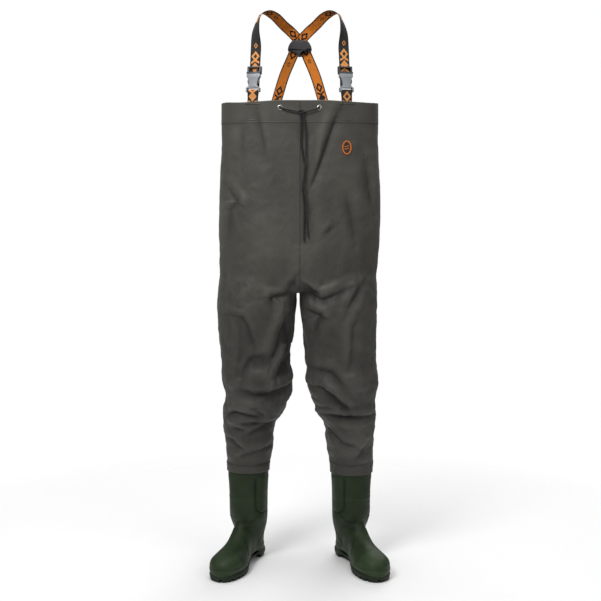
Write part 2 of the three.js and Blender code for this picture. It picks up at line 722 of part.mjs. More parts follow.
function prongSolid(side) {
  const top = plugBottom - clearance;
  const outer = mouthHalf - clearance;
  const shape = new THREE.Shape();
  shape.moveTo(side * outer, top);
  shape.lineTo(side * (outer - prongRootWidth), top);
  shape.lineTo(side * (outer - prongRootWidth - 1), top - prongLength + 8);
  shape.lineTo(side * (outer - prongRootWidth - 2.5), top - prongLength);
  shape.lineTo(side * (outer - 3.5), top - prongLength + 1);
  shape.lineTo(side * outer, top - prongLength + 9);
  shape.lineTo(side * outer, top - prongLength + 16);
  shape.lineTo(side * (outer - 1.6), top - prongLength + 18);
  shape.closePath();
  return toSolid(extrudedFront(shape, 2 * (cavityHalf - slideGap)));
}

// The tab is doubled round the socket's bar and runs down behind the hem facing.
function tabRibbon() {
  const radius = socketBar / 2 + 0.9 + webbingThickness / 2;
  const layer = webbingThickness / 2 + slideGap;
  const vector = (y, z) => new THREE.Vector3(0, y, z);
  const bar = barSetBack;
  const backControls = [
    { point: vector(layer, tabBottomHeight), normal: vector(1, 0) },
    { point: vector(layer, lerp(tabBottomHeight, rimHeight, 0.4)), normal: vector(1, 0) },
    { point: vector(layer, rimHeight - 8), normal: vector(1, 0) },
    { point: vector(layer + bar * 0.5, rimHeight + 12), normal: vector(1, -0.1) },
    { point: vector(bar + radius, buckleHeight - 1), normal: vector(1, 0) },
  ];
  const turn = [45, 90, 135].map((degrees) => {
    const angle = THREE.MathUtils.degToRad(degrees);
    const normal = vector(Math.cos(angle), Math.sin(angle));
    return { point: vector(bar, buckleHeight).addScaledVector(normal, radius), normal };
  });
  const frontControls = [
    { point: vector(bar - radius, buckleHeight - 1), normal: vector(-1, 0) },
    { point: vector(-layer + bar * 0.5, rimHeight + 12), normal: vector(-1, 0.1) },
    { point: vector(-layer, rimHeight - 8), normal: vector(-1, 0) },
    { point: vector(-layer, lerp(tabBottomHeight, rimHeight, 0.4)), normal: vector(-1, 0) },
    { point: vector(-layer, tabBottomHeight), normal: vector(-1, 0) },
  ];
  return ribbon([...backControls, ...turn, ...frontControls], webbingWidth, webbingThickness, 44);
}

const bucklePlacements = {};
for (const side of [-1, 1]) {
  const sideName = side < 0 ? 'right' : 'left';
  const yaw = side * tabSeat.yaw;
  const tabFrame = new THREE.Group();
  tabFrame.position.set(side * braceHalfSpacing, tabY, 0);
  tabFrame.rotation.z = yaw;
  waders.add(tabFrame);
  addMesh(tabFrame, `front_tab_${sideName}`, tabRibbon(), webbingFinish);

  const buckle = new THREE.Group();
  buckle.position.set(0, barSetBack, buckleHeight);
  buckle.rotation.x = -braceTilt;
  tabFrame.add(buckle);
  addMesh(buckle, `buckle_socket_${sideName}`, toGeometry(socketSolid()), plasticFinish);
  addMesh(buckle, `buckle_plug_${sideName}`, toGeometry(plugSolid()), plasticFinish);
  addMesh(buckle, `buckle_prong_${sideName}_inner`, toGeometry(prongSolid(-side)), plasticFinish);
  addMesh(buckle, `buckle_prong_${sideName}_outer`, toGeometry(prongSolid(side)), plasticFinish);
  bucklePlacements[sideName] = buckle;
}
waders.updateMatrixWorld(true);

// ---------------------------------------------------------------- shoulder straps

const crossUp = new THREE.Vector3(0, -Math.sin(crossingTilt), Math.cos(crossingTilt));
const crossOut = new THREE.Vector3(0, Math.cos(crossingTilt), Math.sin(crossingTilt));

// A point on the crossing: across, up its slope, and out from the wearer's back.
function crossingPoint(across, up, out) {
  return new THREE.Vector3(across, crossingY, crossingHeight)
    .addScaledVector(crossUp, up)
    .addScaledVector(crossOut, out);
}

function strapControls(side) {
  const buckle = bucklePlacements[side < 0 ? 'right' : 'left'];
  const forward = new THREE.Vector3(0, -1, 0).transformDirection(buckle.matrixWorld);
  const inBuckle = (z) => ({
    point: new THREE.Vector3(0, strapPlane, z).applyMatrix4(buckle.matrixWorld),
    normal: forward.clone(),
  });
  const layer = -side * (webbingThickness + strapGap) / 2;
  const free = (x, y, rise, nx, ny, nz) => ({
    point: new THREE.Vector3(side * x, y, rimHeight + rise),
    normal: new THREE.Vector3(side * nx, ny, nz).normalize(),
  });
  const crossing = (across, up) => ({
    point: crossingPoint(side * across, up, layer),
    normal: crossOut.clone(),
  });
  const seated = (x, rise) => {
    const seat = chestSeat(x, facingInner + webbingThickness / 2 + seatMargin, 1);
    return free(-x, seat.y, rise, -Math.sin(seat.yaw), Math.cos(seat.yaw), 0);
  };
  return [
    inBuckle(12), inBuckle(40), inBuckle(70), inBuckle(100), inBuckle(126),
    free(127.5, -36, 200, 0.75, -0.62, 0.2),
    free(118, -18, 236, 0.82, -0.22, 0.52),
    free(97, 12, 258, 0.6, 0.1, 0.79),
    free(72, 44, 249, 0.42, 0.4, 0.82),
    free(46, 74, 227, 0.15, 0.85, 0.5),
    crossing(29, 50), crossing(17, 38), crossing(1, 20), crossing(-12, 0), crossing(-21, -22),
    free(-45, 121, 90, 0, 1, 0.1),
    free(-64, 123.5, 30, 0, 1, 0),
    seated(74, -6), seated(82, -30), seated(90, tabBottomHeight + 3 - rimHeight),
  ];
}

for (const side of [-1, 1]) {
  const sideName = side < 0 ? 'right' : 'left';
  const strap = ribbon(strapControls(side), webbingWidth, webbingThickness, 76);
  addMesh(waders, `shoulder_strap_${sideName}`, strap, webbingFinish);
}

// ---------------------------------------------------------------- cross patch

function crossPatchShape() {
  const halfWide = crossPatchWidth / 2;
  const halfHigh = crossPatchHeight / 2;
  const shape = new THREE.Shape();
  shape.moveTo(-halfWide, -halfHigh * 0.1);
  shape.quadraticCurveTo(-halfWide, halfHigh * 0.75, -halfWide * 0.6, halfHigh);
  shape.lineTo(halfWide * 0.6, halfHigh);
  shape.quadraticCurveTo(halfWide, halfHigh * 0.75, halfWide, -halfHigh * 0.1);
  shape.lineTo(halfWide * 0.86, -halfHigh * 0.4);
  shape.quadraticCurveTo(halfWide * 0.5, -halfHigh * 0.45, halfWide * 0.35, -halfHigh * 0.75);
  shape.quadraticCurveTo(0, -halfHigh * 1.25, -halfWide * 0.35, -halfHigh * 0.75);
  shape.quadraticCurveTo(-halfWide * 0.5, -halfHigh * 0.45, -halfWide * 0.86, -halfHigh * 0.4);
  shape.closePath();
  return shape;
}

const crossingGroup = new THREE.Group();
crossingGroup.position.set(0, crossingY, crossingHeight);
crossingGroup.rotation.x = crossingTilt;
waders.add(crossingGroup);
const patchOffset = webbingThickness + strapGap / 2 + 1.5 * looseFit + crossPatchThickness / 2;
for (const [place, facing] of [['inner', -1], ['outer', 1]]) {
  const patch = extrudedFront(crossPatchShape(), crossPatchThickness);
  patch.translate(0, facing * patchOffset, 0);
  addMesh(crossingGroup, `cross_patch_${place}`, patch, patchFinish);
}

export default waders;
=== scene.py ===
import json
from collections import namedtuple
from math import cos, pi, radians, sin, tau

import bmesh
import bpy
import numpy as np
from mathutils import Matrix, Vector, noise

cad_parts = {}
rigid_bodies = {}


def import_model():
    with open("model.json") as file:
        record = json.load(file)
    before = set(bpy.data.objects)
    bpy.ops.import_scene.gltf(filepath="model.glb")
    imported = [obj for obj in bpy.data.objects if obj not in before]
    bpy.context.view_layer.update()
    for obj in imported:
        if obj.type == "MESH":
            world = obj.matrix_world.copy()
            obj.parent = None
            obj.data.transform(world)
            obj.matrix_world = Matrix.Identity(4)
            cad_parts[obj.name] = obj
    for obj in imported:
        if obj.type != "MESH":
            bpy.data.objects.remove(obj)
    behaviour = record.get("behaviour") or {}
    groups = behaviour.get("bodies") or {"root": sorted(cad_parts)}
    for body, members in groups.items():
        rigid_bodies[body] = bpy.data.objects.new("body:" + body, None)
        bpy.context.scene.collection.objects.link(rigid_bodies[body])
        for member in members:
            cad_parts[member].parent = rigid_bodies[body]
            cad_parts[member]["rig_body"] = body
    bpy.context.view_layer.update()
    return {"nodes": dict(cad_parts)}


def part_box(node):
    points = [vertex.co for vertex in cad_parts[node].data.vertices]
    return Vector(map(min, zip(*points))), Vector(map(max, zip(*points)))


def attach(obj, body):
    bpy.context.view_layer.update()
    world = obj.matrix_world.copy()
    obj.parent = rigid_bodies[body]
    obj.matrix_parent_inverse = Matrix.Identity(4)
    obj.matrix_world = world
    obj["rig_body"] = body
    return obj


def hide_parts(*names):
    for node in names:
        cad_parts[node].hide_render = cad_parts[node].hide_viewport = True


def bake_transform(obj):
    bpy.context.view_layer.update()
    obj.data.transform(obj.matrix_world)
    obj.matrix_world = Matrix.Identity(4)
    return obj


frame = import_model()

bl_info = {
    "name": "Chest waders",
    "version": (1, 0, 0),
    "blender": (4, 5, 0),
    "location": "View3D > Sidebar > Waders",
    "description": "Fabric chest waders with rubber boots, webbing braces and a hem drawcord",
    "category": "Object",
}

MM = 0.001
SIDES = {"left": 1, "right": -1}
# Heights above the ground in millimetres, as are all the sizes and places below that say no unit.
RIM = 1350
HEM_LINE = 1294
TUNNEL = 1333
CROTCH = 803
BOOT_TOP = 285
LEG_END = 268
SHAFT_X, SHAFT_Y = 154, 74.13  # the axis of each boot's shaft
TOE_OUT = tau / 20
CHEST_HALF, CHEST_REACH, CHEST_Y, CHEST_POWER = 222, 118, 20, 2.4  # the outline of the rim
TAB_X, TAB_YAW, TAB_Y = 131, radians(18.05), -65.88
EYELET_X = 54
BADGE_X, BADGE_Z = 130, 1224
WEB = 30

# An outline of a loft: front and back are how far it reaches each way from (x, y), half is
# half its width, and power is how square it is, with 2 a plain ellipse.
Section = namedtuple("Section", "z x y half front back power")


def oval(z, x, y, half, reach, power):
    return Section(z, x, y, half, reach, reach, power)


TORSO = [
    oval(803, 0, 26, 178.6, 40, 2.4),
    oval(820, 0, 26, 206, 80, 2.4),
    oval(845, 0, 24, 222, 107.5, 2.4),
    oval(885, 0, 22, 227.6, 121, 2.4),
    oval(956, 0, 22, 229, 125, 2.4),
    oval(1087, 0, 22, 229, 123.5, 2.4),
    oval(1197, 0, 21, 226, 121.5, 2.4),
    oval(1294, 0, 20, 223, 118, 2.4),
    oval(1350, 0, 20, 222, 118, 2.4),
    oval(1362, 0, 20, 222, 118, 2.4),
]
LEG = [
    oval(256, 154, 74.1, 63.3, 63.3, 2),
    oval(291, 154, 74.1, 63.3, 63.3, 2),
    oval(322, 151, 73, 65.3, 68.3, 2.2),
    oval(369.5, 149, 70, 71.5, 76, 2.2),
    oval(417.5, 150, 65, 76.5, 82, 2.2),
    oval(445.7, 140.7, 58, 86.4, 88.7, 2.2),
    oval(490.8, 128.5, 52, 91.6, 95.7, 2.2),
    oval(550, 124.5, 44, 104, 103, 2.2),
    oval(610, 124.5, 42, 102, 105, 2.2),
    oval(704, 120.5, 34, 107.5, 112, 2.2),
    oval(776, 117.5, 30, 114.5, 115, 2.2),
    oval(843, 113.5, 27, 114.5, 111, 2.2),
    oval(905, 111.5, 25, 105.5, 103, 2.2),
]


CHEST = oval(TUNNEL, 0, CHEST_Y, CHEST_HALF, CHEST_REACH, CHEST_POWER)

# Folds in the fabric: points across and up, width, depth (negative dents), sharpness.
Fold = namedtuple("Fold", "points width depth power", defaults=(2,))
FRONT_FOLDS = [
    Fold([(108, 1322), (88, 1272), (60, 1190), (37, 1130), (24, 1102)], 13, -7, 1.6),
    Fold([(-119, 1326), (-111, 1276), (-101, 1231), (-96, 1185)], 12, -2.6),
    Fold([(-160, 1285), (-165, 1185)], 14, -2.2),
    Fold([(-207, 1121), (-177, 1075), (-198, 1047), (-208, 955)], 12, -3.4),
    Fold([(185, 1185), (199, 1093), (209, 1038)], 14, -4),
    Fold([(130, 1093), (149, 1010), (158, 955)], 15, -3.4),
    Fold([(24, 1093), (38, 964)], 16, -3),
    Fold([(70, 982), (98, 1010)], 9, -2.4),
    Fold([(-4, 865), (-32, 813), (-72, 808), (-70, 766)], 11, -7, 1.5),
    Fold([(-18, 776), (-51, 684), (-78, 616)], 17, -9),
    Fold([(-32, 752), (-23, 665), (-66, 572)], 10, -6, 1.6),
    Fold([(5, 848), (66, 813)], 8, -5, 1.4),
    Fold([(15, 827), (66, 797), (132, 828)], 15, -8, 1.8),
    Fold([(178, 839), (137, 766)], 12, -4.5),
    Fold([(17, 766), (62, 754), (43, 704)], 11, -6, 1.5),
    Fold([(174, 756), (156, 723), (152, 621), (143, 591)], 11, -4),
    Fold([(-215, 759), (-159, 749), (-141, 723), (-122, 653)], 9, -4, 1.6),
    Fold([(-164, 737), (-167, 640), (-185, 562)], 12, -3.2),
    Fold([(-171, 542), (-156, 601), (-127, 633), (-85, 640)], 12, -4),
    Fold([(-61, 572), (-18, 640)], 16, -6),
    Fold([(34, 596), (91, 587), (134, 542)], 15, -7, 1.8),
    Fold([(34, 544), (66, 537), (93, 519), (114, 499), (135, 481), (143, 470)], 12, -10, 1.5),
    Fold([(62, 459), (128, 454), (179, 452), (217, 456)], 8, -7, 1.3),
    Fold([(85, 410), (102, 390), (130, 367), (154, 362), (175, 353)], 10, -6.5, 1.4),
    Fold([(154, 321), (172, 330), (185, 351), (198, 373)], 9, -4, 1.6),
    Fold([(-170, 535), (-129, 519), (-96, 521), (-62, 530), (-20, 548)], 13, -8, 1.7),
    Fold([(-149, 476), (-127, 485)], 7, -3.6, 1.4),
    Fold([(-127, 474), (-100, 452)], 8, -4.4, 1.4),
    Fold([(-223, 435), (-205, 461), (-188, 468), (-161, 464), (-130, 456), (-107, 444)], 9, -7, 1.4),
    Fold([(-182, 431), (-145, 433), (-94, 430), (-78, 431)], 7, -5, 1.3),
    Fold([(-193, 419), (-157, 408)], 7, -4, 1.5),
    Fold([(-157, 395), (-125, 410), (-78, 429)], 8, -5, 1.5),
    Fold([(-211, 384), (-194, 375), (-177, 358), (-160, 345)], 8, -5.5, 1.5),
    Fold([(-184, 319), (-164, 330), (-129, 344), (-91, 355), (-79, 358)], 9, -4.5, 1.6),
    Fold([(-150, 575), (-110, 590), (-70, 580)], 26, 5),
    Fold([(100, 560), (150, 575), (190, 560)], 28, 4),
    Fold([(60, 495), (110, 478), (60, 470)], 13, 4),
    Fold([(-200, 500), (-150, 500), (-100, 500)], 16, 4),
    Fold([(95, 435), (150, 425), (205, 432)], 13, 4),
]
BACK_FOLDS = [
    Fold([(-190, 842), (-120, 800), (-40, 806), (-6, 850)], 15, -8, 1.7),
    Fold([(8, 850), (50, 802), (130, 798), (196, 836)], 16, -8, 1.7),
    Fold([(-60, 1290), (-40, 1180), (-20, 1040), (-10, 930)], 18, -3.4),
    Fold([(110, 1280), (84, 1150), (60, 1000), (30, 900)], 17, -4),
    Fold([(-150, 1270), (-168, 1120), (-176, 980)], 16, -3.4),
    Fold([(180, 1230), (188, 1090), (180, 960)], 15, -3.2),
    Fold([(-205, 575), (-140, 560), (-60, 572), (-22, 600)], 12, -9, 1.5),
    Fold([(-200, 520), (-130, 531), (-70, 518), (-38, 505)], 10, -7, 1.5),
    Fold([(30, 590), (90, 566), (150, 560), (212, 584)], 12, -9, 1.5),
    Fold([(40, 512), (100, 526), (160, 522), (210, 500)], 10, -7, 1.5),
    Fold([(-60, 740), (-90, 680), (-80, 610)], 14, -5),
    Fold([(70, 745), (60, 670), (100, 610)], 14, -5),
    Fold([(-190, 700), (-160, 650), (-170, 600)], 12, -4),
    Fold([(180, 720), (170, 650), (186, 600)], 12, -4),
    Fold([(-205, 452), (-150, 436), (-90, 448)], 9, -6.5, 1.4),
    Fold([(80, 446), (140, 460), (214, 440)], 9, -6.5, 1.4),
    Fold([(-210, 398), (-160, 382), (-100, 396)], 9, -5.5, 1.4),
    Fold([(92, 392), (150, 376), (208, 396)], 9, -5.5, 1.4),
    Fold([(-190, 340), (-150, 352), (-100, 338)], 8, -4, 1.5),
    Fold([(100, 346), (150, 330), (200, 344)], 8, -4, 1.5),
]


def hue(red, green, blue):
    """A display colour from 0 to 255 as the linear colour that Blender takes."""
    return tuple(
        c / 12.92 if c <= 0.04045 else ((c + 0.055) / 1.055) ** 2.4
        for c in (red / 255, green / 255, blue / 255)
    )


def colour(name, description, default):
    return bpy.props.FloatVectorProperty(
        name=name, description=description, subtype="COLOR", size=3, min=0, max=1, default=default
    )


def length(name, description, millimetres):
    return bpy.props.FloatProperty(
        name=name, description=description, subtype="DISTANCE", unit="LENGTH", min=0.0001,
        default=millimetres * MM,
    )


class WadersSizes(bpy.types.PropertyGroup):
    fabric_grid: length("Fabric grid", "Size of the fabric's faces", 3.5)
    fabric_wall: length("Fabric wall", "Thickness of the coated fabric", 1.1)
    boot_grid: length("Boot grid", "Size of the boots' faces", 2.6)
    boot_wall: length("Boot wall", "Thickness of the rubber", 3)
    webbing_thickness: length("Webbing", "Thickness of the webbing", 1.7)
    cord_diameter: length("Cord", "Diameter of the drawcord", 4.5)
    fold_depth: bpy.props.FloatProperty(
        name="Fold depth", description="How strongly the fabric folds", min=0, max=3, default=1.5
    )


class WadersColours(bpy.types.PropertyGroup):
    fabric: colour("Fabric", "Coated nylon", hue(75, 72.5, 66))
    tape: colour("Tape", "Welded seam tape", hue(72, 71, 65))
    rubber: colour("Rubber", "Boot uppers", hue(39, 53, 31))
    sole: colour("Sole", "Cleated soles", hue(33, 42, 30))
    lining: colour("Lining", "Knitted boot lining", hue(110, 112, 100))
    insole: colour("Insole", "Felt insole", hue(138, 138, 128))
    orange: colour("Orange", "Inner face of the webbing", hue(255, 143, 42))
    charcoal: colour("Charcoal", "Outer face of the webbing", hue(44, 42, 40))
    motif: colour("Motif", "Pattern on the outer face", hue(238, 160, 88))
    buckle: colour("Buckle", "Buckle sockets", hue(142, 147, 152))
    plug: colour("Plug", "Buckle plugs and prongs", hue(62, 61, 63))
    patch: colour("Patch", "Patch where the braces cross", hue(84, 82, 86))
    cord: colour("Cord", "Drawcord", hue(20, 20, 20))
    metal: colour("Metal", "Eyelets", hue(205, 207, 206))
    badge: colour("Badge", "Badge rim and waves", hue(226, 120, 40))
    badge_ground: colour("Badge ground", "Ground of the badge", hue(48, 44, 40))


# ------------------------------------------------------------------ materials

LEG_SHADE_HEIGHTS = 0.55, 0.98  # the fabric is painted darker below the first, as shade towards the floor, and keeps its colour above the second, in metres


class Finish:
    """A node material as it is put together."""

    def __init__(self, name, base, roughness, metallic=0.0):
        self.material = bpy.data.materials.new(name)
        self.material.use_nodes = True
        self.tree = self.material.node_tree
        self.shader = self.tree.nodes["Principled BSDF"]
        self.shader.inputs["Base Color"].default_value = (*base, 1)
        self.shader.inputs["Roughness"].default_value = roughness
        self.shader.inputs["Metallic"].default_value = metallic
        places = self.add("ShaderNodeTexCoord")
        self.object, self.uv = places.outputs["Object"], places.outputs["UV"]
        self.colour = self.normal = None

    def feed(self, socket, value):
        if isinstance(value, bpy.types.NodeSocket):
            self.tree.links.new(value, socket)
        else:
            socket.default_value = value

    def add(self, kind, settings=None, **inputs):
        node = self.tree.nodes.new(kind)
        for key, value in (settings or {}).items():
            setattr(node, key, value)
        for key, value in inputs.items():
            self.feed(node.inputs[key.replace("_", " ")], value)
        return node

    def stretch(self, source, scale, turn=(0, 0, 0)):
        return self.add("ShaderNodeMapping", Vector=source, Scale=scale, Rotation=turn).outputs[0]

    def noise(self, scale, detail=3, source=None, roughness=0.5):
        return self.add(
            "ShaderNodeTexNoise", Vector=source or self.object, Scale=scale, Detail=detail,
            Roughness=roughness,
        ).outputs["Fac"]

    def wave(self, scale, source, direction="X", distortion=0.0):
        return self.add(
            "ShaderNodeTexWave", {"bands_direction": direction}, Vector=source, Scale=scale,
            Distortion=distortion,
        ).outputs["Fac"]

    def math(self, operation, a, b=0.0):
        node = self.tree.nodes.new("ShaderNodeMath")
        node.operation = operation
        for socket, value in zip(node.inputs, (a, b)):
            self.feed(socket, value)
        return node.outputs[0]

    def ramp(self, value, low, high, to_low=0.0, to_high=1.0):
        return self.add(
            "ShaderNodeMapRange", Value=value, From_Min=low, From_Max=high, To_Min=to_low, To_Max=to_high
        ).outputs[0]

    def vary(self, noise, to_low, to_high):
        """Spreads a noise, which mostly lies between 0.3 and 0.7, over a range."""
        return self.ramp(noise, 0.3, 0.7, to_low, to_high)

    def mix(self, share, a, b):
        node = self.tree.nodes.new("ShaderNodeMix")
        node.data_type = "RGBA"
        for socket, value in zip((node.inputs[0], node.inputs[6], node.inputs[7]), (share, a, b)):
            self.feed(socket, (*value, 1) if isinstance(value, tuple) and len(value) == 3 else value)
        return node.outputs[2]

    def paint(self, value):
        self.colour = value
        self.feed(self.shader.inputs["Base Color"], value)

    def paint_shade_and_highlights(self, dark, light, leg_shade=1.0):
        """Paints shade into the creases and highlights onto what stands proud, and paints shade that darkens
        the legs towards the floor.
        """
        crease = self.add("ShaderNodeAttribute", {"attribute_name": "crease"}).outputs["Fac"]
        # Painted shade in creases and painted highlights on proud places, from the crease depth.
        scale = self.ramp(crease, -1, 1, light, dark)
        # Painted shade that darkens the legs towards the floor.
        if leg_shade < 1:
            height = self.add("ShaderNodeSeparateXYZ", Vector=self.object).outputs[2]
            scale = self.math("MULTIPLY", scale, self.ramp(height, *LEG_SHADE_HEIGHTS, leg_shade, 1))
        node = self.tree.nodes.new("ShaderNodeMix")
        node.data_type, node.blend_type = "RGBA", "MULTIPLY"
        node.inputs[0].default_value = 1
        tone = self.add("ShaderNodeCombineColor", Red=scale, Green=scale, Blue=scale)
        self.feed(node.inputs[6], self.colour)
        self.feed(node.inputs[7], tone.outputs[0])
        self.paint(node.outputs[2])

    def roughen(self, value):
        self.feed(self.shader.inputs["Roughness"], value)

    def bump(self, height, strength, distance):
        node = self.add("ShaderNodeBump", Height=height, Strength=strength, Distance=distance)
        if self.normal:
            self.feed(node.inputs["Normal"], self.normal)
        self.normal = node.outputs[0]
        self.feed(self.shader.inputs["Normal"], self.normal)

    def blend_to_clear(self, share):
        clear = self.add("ShaderNodeBsdfTransparent")
        both = self.add("ShaderNodeMixShader")
        self.tree.links.new(share, both.inputs[0])
        self.tree.links.new(self.shader.outputs[0], both.inputs[1])
        self.tree.links.new(clear.outputs[0], both.inputs[2])
        self.tree.links.new(both.outputs[0], self.tree.nodes["Material Output"].inputs["Surface"])

    def set(self, **values):
        for key, value in values.items():
            self.shader.inputs[key.replace("_", " ")].default_value = value


def shade(base, factor):
    """A lighter or darker shade of a colour."""
    return tuple(min(1.0, c * factor) for c in base)


def fabric_finish(name, base, gloss=0.62):
    """Coated woven nylon: a fine weave, faint crinkles, cloudy wear, painted shade in the creases with
    painted highlights on what stands proud, and painted shade down the legs.
    """
    finish = Finish(name, base, gloss)
    cloud = finish.noise(scale=7, detail=4)
    speck = finish.noise(scale=160, detail=3)
    tone = finish.mix(finish.vary(cloud, 0, 1), shade(base, 0.88), shade(base, 1.12))
    finish.paint(finish.mix(finish.ramp(speck, 0.35, 0.7, 0, 0.22), tone, shade(base, 1.35)))
    # Painted shade in the creases and down the legs, painted highlights on proud cloth.
    finish.paint_shade_and_highlights(dark=0.45, light=1.5, leg_shade=0.64)
    finish.roughen(finish.vary(finish.noise(scale=22, detail=3), gloss - 0.07, gloss + 0.08))
    crinkle = finish.add(
        "ShaderNodeTexNoise", {"noise_type": "RIDGED_MULTIFRACTAL"}, Vector=finish.object, Scale=16,
        Detail=5, Roughness=0.55, Lacunarity=2.2,
    ).outputs["Fac"]
    finish.bump(crinkle, strength=0.5, distance=0.004)
    finish.bump(finish.noise(scale=38, detail=5, roughness=0.62), strength=0.4, distance=0.002)
    across = finish.wave(520, finish.stretch(finish.object, (1, 1, 0)), "DIAGONAL")
    upward = finish.wave(360, finish.object, "Z")
    finish.bump(finish.math("MULTIPLY", across, upward), strength=0.25, distance=0.0003)
    finish.set(Sheen_Weight=0.08, Sheen_Roughness=0.5)
    return finish.material


def rubber_finish(name, base, gloss=0.52):
    """Moulded rubber: satin, with a fine grain and dusty bloom, painted shade in its grooves and painted
    highlights on what stands proud.
    """
    finish = Finish(name, base, gloss)
    bloom = finish.noise(scale=9, detail=5)
    finish.paint(finish.mix(finish.ramp(bloom, 0.35, 0.75), shade(base, 0.85), shade(base, 1.25)))
    # Painted shade in the grooves, painted highlights on the ridges.
    finish.paint_shade_and_highlights(dark=0.35, light=1.65)
    finish.roughen(finish.vary(finish.noise(scale=30, detail=4), gloss - 0.06, gloss + 0.12))
    finish.bump(finish.noise(scale=420, detail=2), strength=0.12, distance=0.0004)
    finish.bump(finish.noise(scale=26, detail=3), strength=0.12, distance=0.0012)
    finish.set(Specular_IOR_Level=0.24)
    return finish.material


def knit_finish(name, base):
    """Knitted lining: rows up the leg, crossed by ribs."""
    finish = Finish(name, base, 0.9)
    rows = finish.wave(260, finish.object, "Z", distortion=2)
    ribs = finish.wave(220, finish.stretch(finish.object, (1, 1, 0)), "DIAGONAL", distortion=1)
    finish.paint(finish.mix(rows, shade(base, 0.7), base))
    finish.bump(finish.math("MULTIPLY", rows, ribs), strength=0.7, distance=0.0008)
    return finish.material


def felt_finish(name, base):
    """Pressed felt: short tangled fibres."""
    finish = Finish(name, base, 0.95)
    fibre = finish.noise(scale=300, detail=5, roughness=0.7)
    finish.paint(finish.mix(fibre, shade(base, 0.7), shade(base, 1.1)))
    finish.bump(fibre, strength=0.6, distance=0.0008)
    return finish.material


def weave_bump(finish):
    """Ribs across the webbing and threads along it. U runs 0 to 1 and V in webbing widths."""
    ribs = finish.wave(2.4, finish.stretch(finish.uv, (1, 10, 1)), "Y")
    threads = finish.wave(9, finish.uv, "X")
    finish.bump(finish.math("ADD", ribs, threads), strength=0.45, distance=0.0003)


def webbing_ground(finish, base, edge, edge_start):
    """The strap's ground colour, darker or lighter thread by thread, with its woven edges."""
    across, along, _ = finish.add("ShaderNodeSeparateXYZ", Vector=finish.uv).outputs
    off_centre = finish.math("ABSOLUTE", finish.math("SUBTRACT", across, 0.5))
    grain = finish.noise(scale=1, detail=4, source=finish.stretch(finish.uv, (30, 90, 1)))
    ground = finish.mix(finish.vary(grain, 0, 1), shade(base, 0.86), shade(base, 1.12))
    is_edge = finish.math("GREATER_THAN", off_centre, edge_start)
    return off_centre, along, finish.mix(is_edge, ground, edge)


def hollow_lozenge(finish, off_centre, along, half, wall, height):
    """1 inside the wall of a lozenge standing across the strap."""
    spread = finish.math(
        "ADD",
        finish.math("DIVIDE", off_centre, half),
        finish.math("DIVIDE", finish.math("ABSOLUTE", along), height),
    )
    return finish.math(
        "MULTIPLY", finish.math("LESS_THAN", spread, 1), finish.math("GREATER_THAN", spread, wall)
    )


# The pattern woven into the webbing, in webbing widths along it: where each lozenge stands, the
# share of it that is hollow, how far it reaches along, and its width against the widest.
MOTIF_PERIOD = 5.8
Lozenge = namedtuple("Lozenge", "centre hollow reach width")
LOZENGES = (
    Lozenge(0.5, 0.46, 0.5, 1), Lozenge(1.55, 0, 0.46, 1), Lozenge(2.6, 0.46, 0.5, 1),
    Lozenge(3.6, 0.55, 0.26, 0.5),
)
ARROWS = 1.17, 2.23
ARROW_LEAN, ARROW_HALF = 0.6, 0.1


def motif_mask(finish, off_centre, along, start, half):
    """A run of lozenges and arrow bars, then plain webbing, repeating along the strap."""
    turns = finish.math("DIVIDE", finish.math("SUBTRACT", along, start), MOTIF_PERIOD)
    part_turn = finish.math("SUBTRACT", turns, finish.math("FLOOR", turns))
    along = finish.math("MULTIPLY", part_turn, MOTIF_PERIOD)
    masks = []
    for lozenge in LOZENGES:
        ahead = finish.math("SUBTRACT", along, lozenge.centre)
        masks.append(
            hollow_lozenge(finish, off_centre, ahead, half * lozenge.width, lozenge.hollow, lozenge.reach)
        )
    lean = finish.math("MULTIPLY", off_centre, ARROW_LEAN)
    for centre in ARROWS:
        ahead = finish.math("ADD", finish.math("SUBTRACT", along, centre), lean)
        bar = finish.math("LESS_THAN", finish.math("ABSOLUTE", ahead), ARROW_HALF)
        masks.append(finish.math("MULTIPLY", bar, finish.math("LESS_THAN", off_centre, half)))
    whole = masks[0]
    for mask in masks[1:]:
        whole = finish.math("MAXIMUM", whole, mask)
    return whole


def webbing_finishes(name, colours, outer_start, inner_start):
    """The outer face, charcoal with a warm motif, and the inner face, orange with a dark one."""
    dark = shade(colours.charcoal, 0.3)
    outer = Finish(name + "_outer", colours.charcoal, 0.8)
    off_centre, along, ground = webbing_ground(outer, tuple(colours.charcoal), dark, edge_start=0.44)
    motif = motif_mask(outer, off_centre, along, outer_start, half=0.4)
    outer.paint(outer.mix(motif, ground, tuple(colours.motif)))
    weave_bump(outer)
    inner = Finish(name + "_inner", colours.orange, 0.75)
    off_centre, along, ground = webbing_ground(inner, tuple(colours.orange), dark, edge_start=0.405)
    rail = inner.math(
        "MULTIPLY",
        inner.math("GREATER_THAN", off_centre, 0.35),
        inner.math("LESS_THAN", off_centre, 0.375),
    )
    motif = motif_mask(inner, off_centre, along, inner_start, half=0.34)
    inner.paint(inner.mix(rail, inner.mix(motif, ground, dark), shade(colours.orange, 0.55)))
    weave_bump(inner)
    return [outer.material, inner.material]


def plastic_finish(name, base, gloss=0.38):
    """Moulded plastic or leatherette: nearly even, with a fine grain."""
    finish = Finish(name, base, gloss)
    cloud = finish.vary(finish.noise(scale=40, detail=4), 0, 1)
    finish.paint(finish.mix(cloud, shade(base, 0.93), shade(base, 1.07)))
    finish.roughen(finish.vary(finish.noise(scale=90, detail=3), gloss - 0.05, gloss + 0.1))
    finish.bump(finish.noise(scale=900, detail=2), strength=0.15, distance=0.0002)
    return finish.material


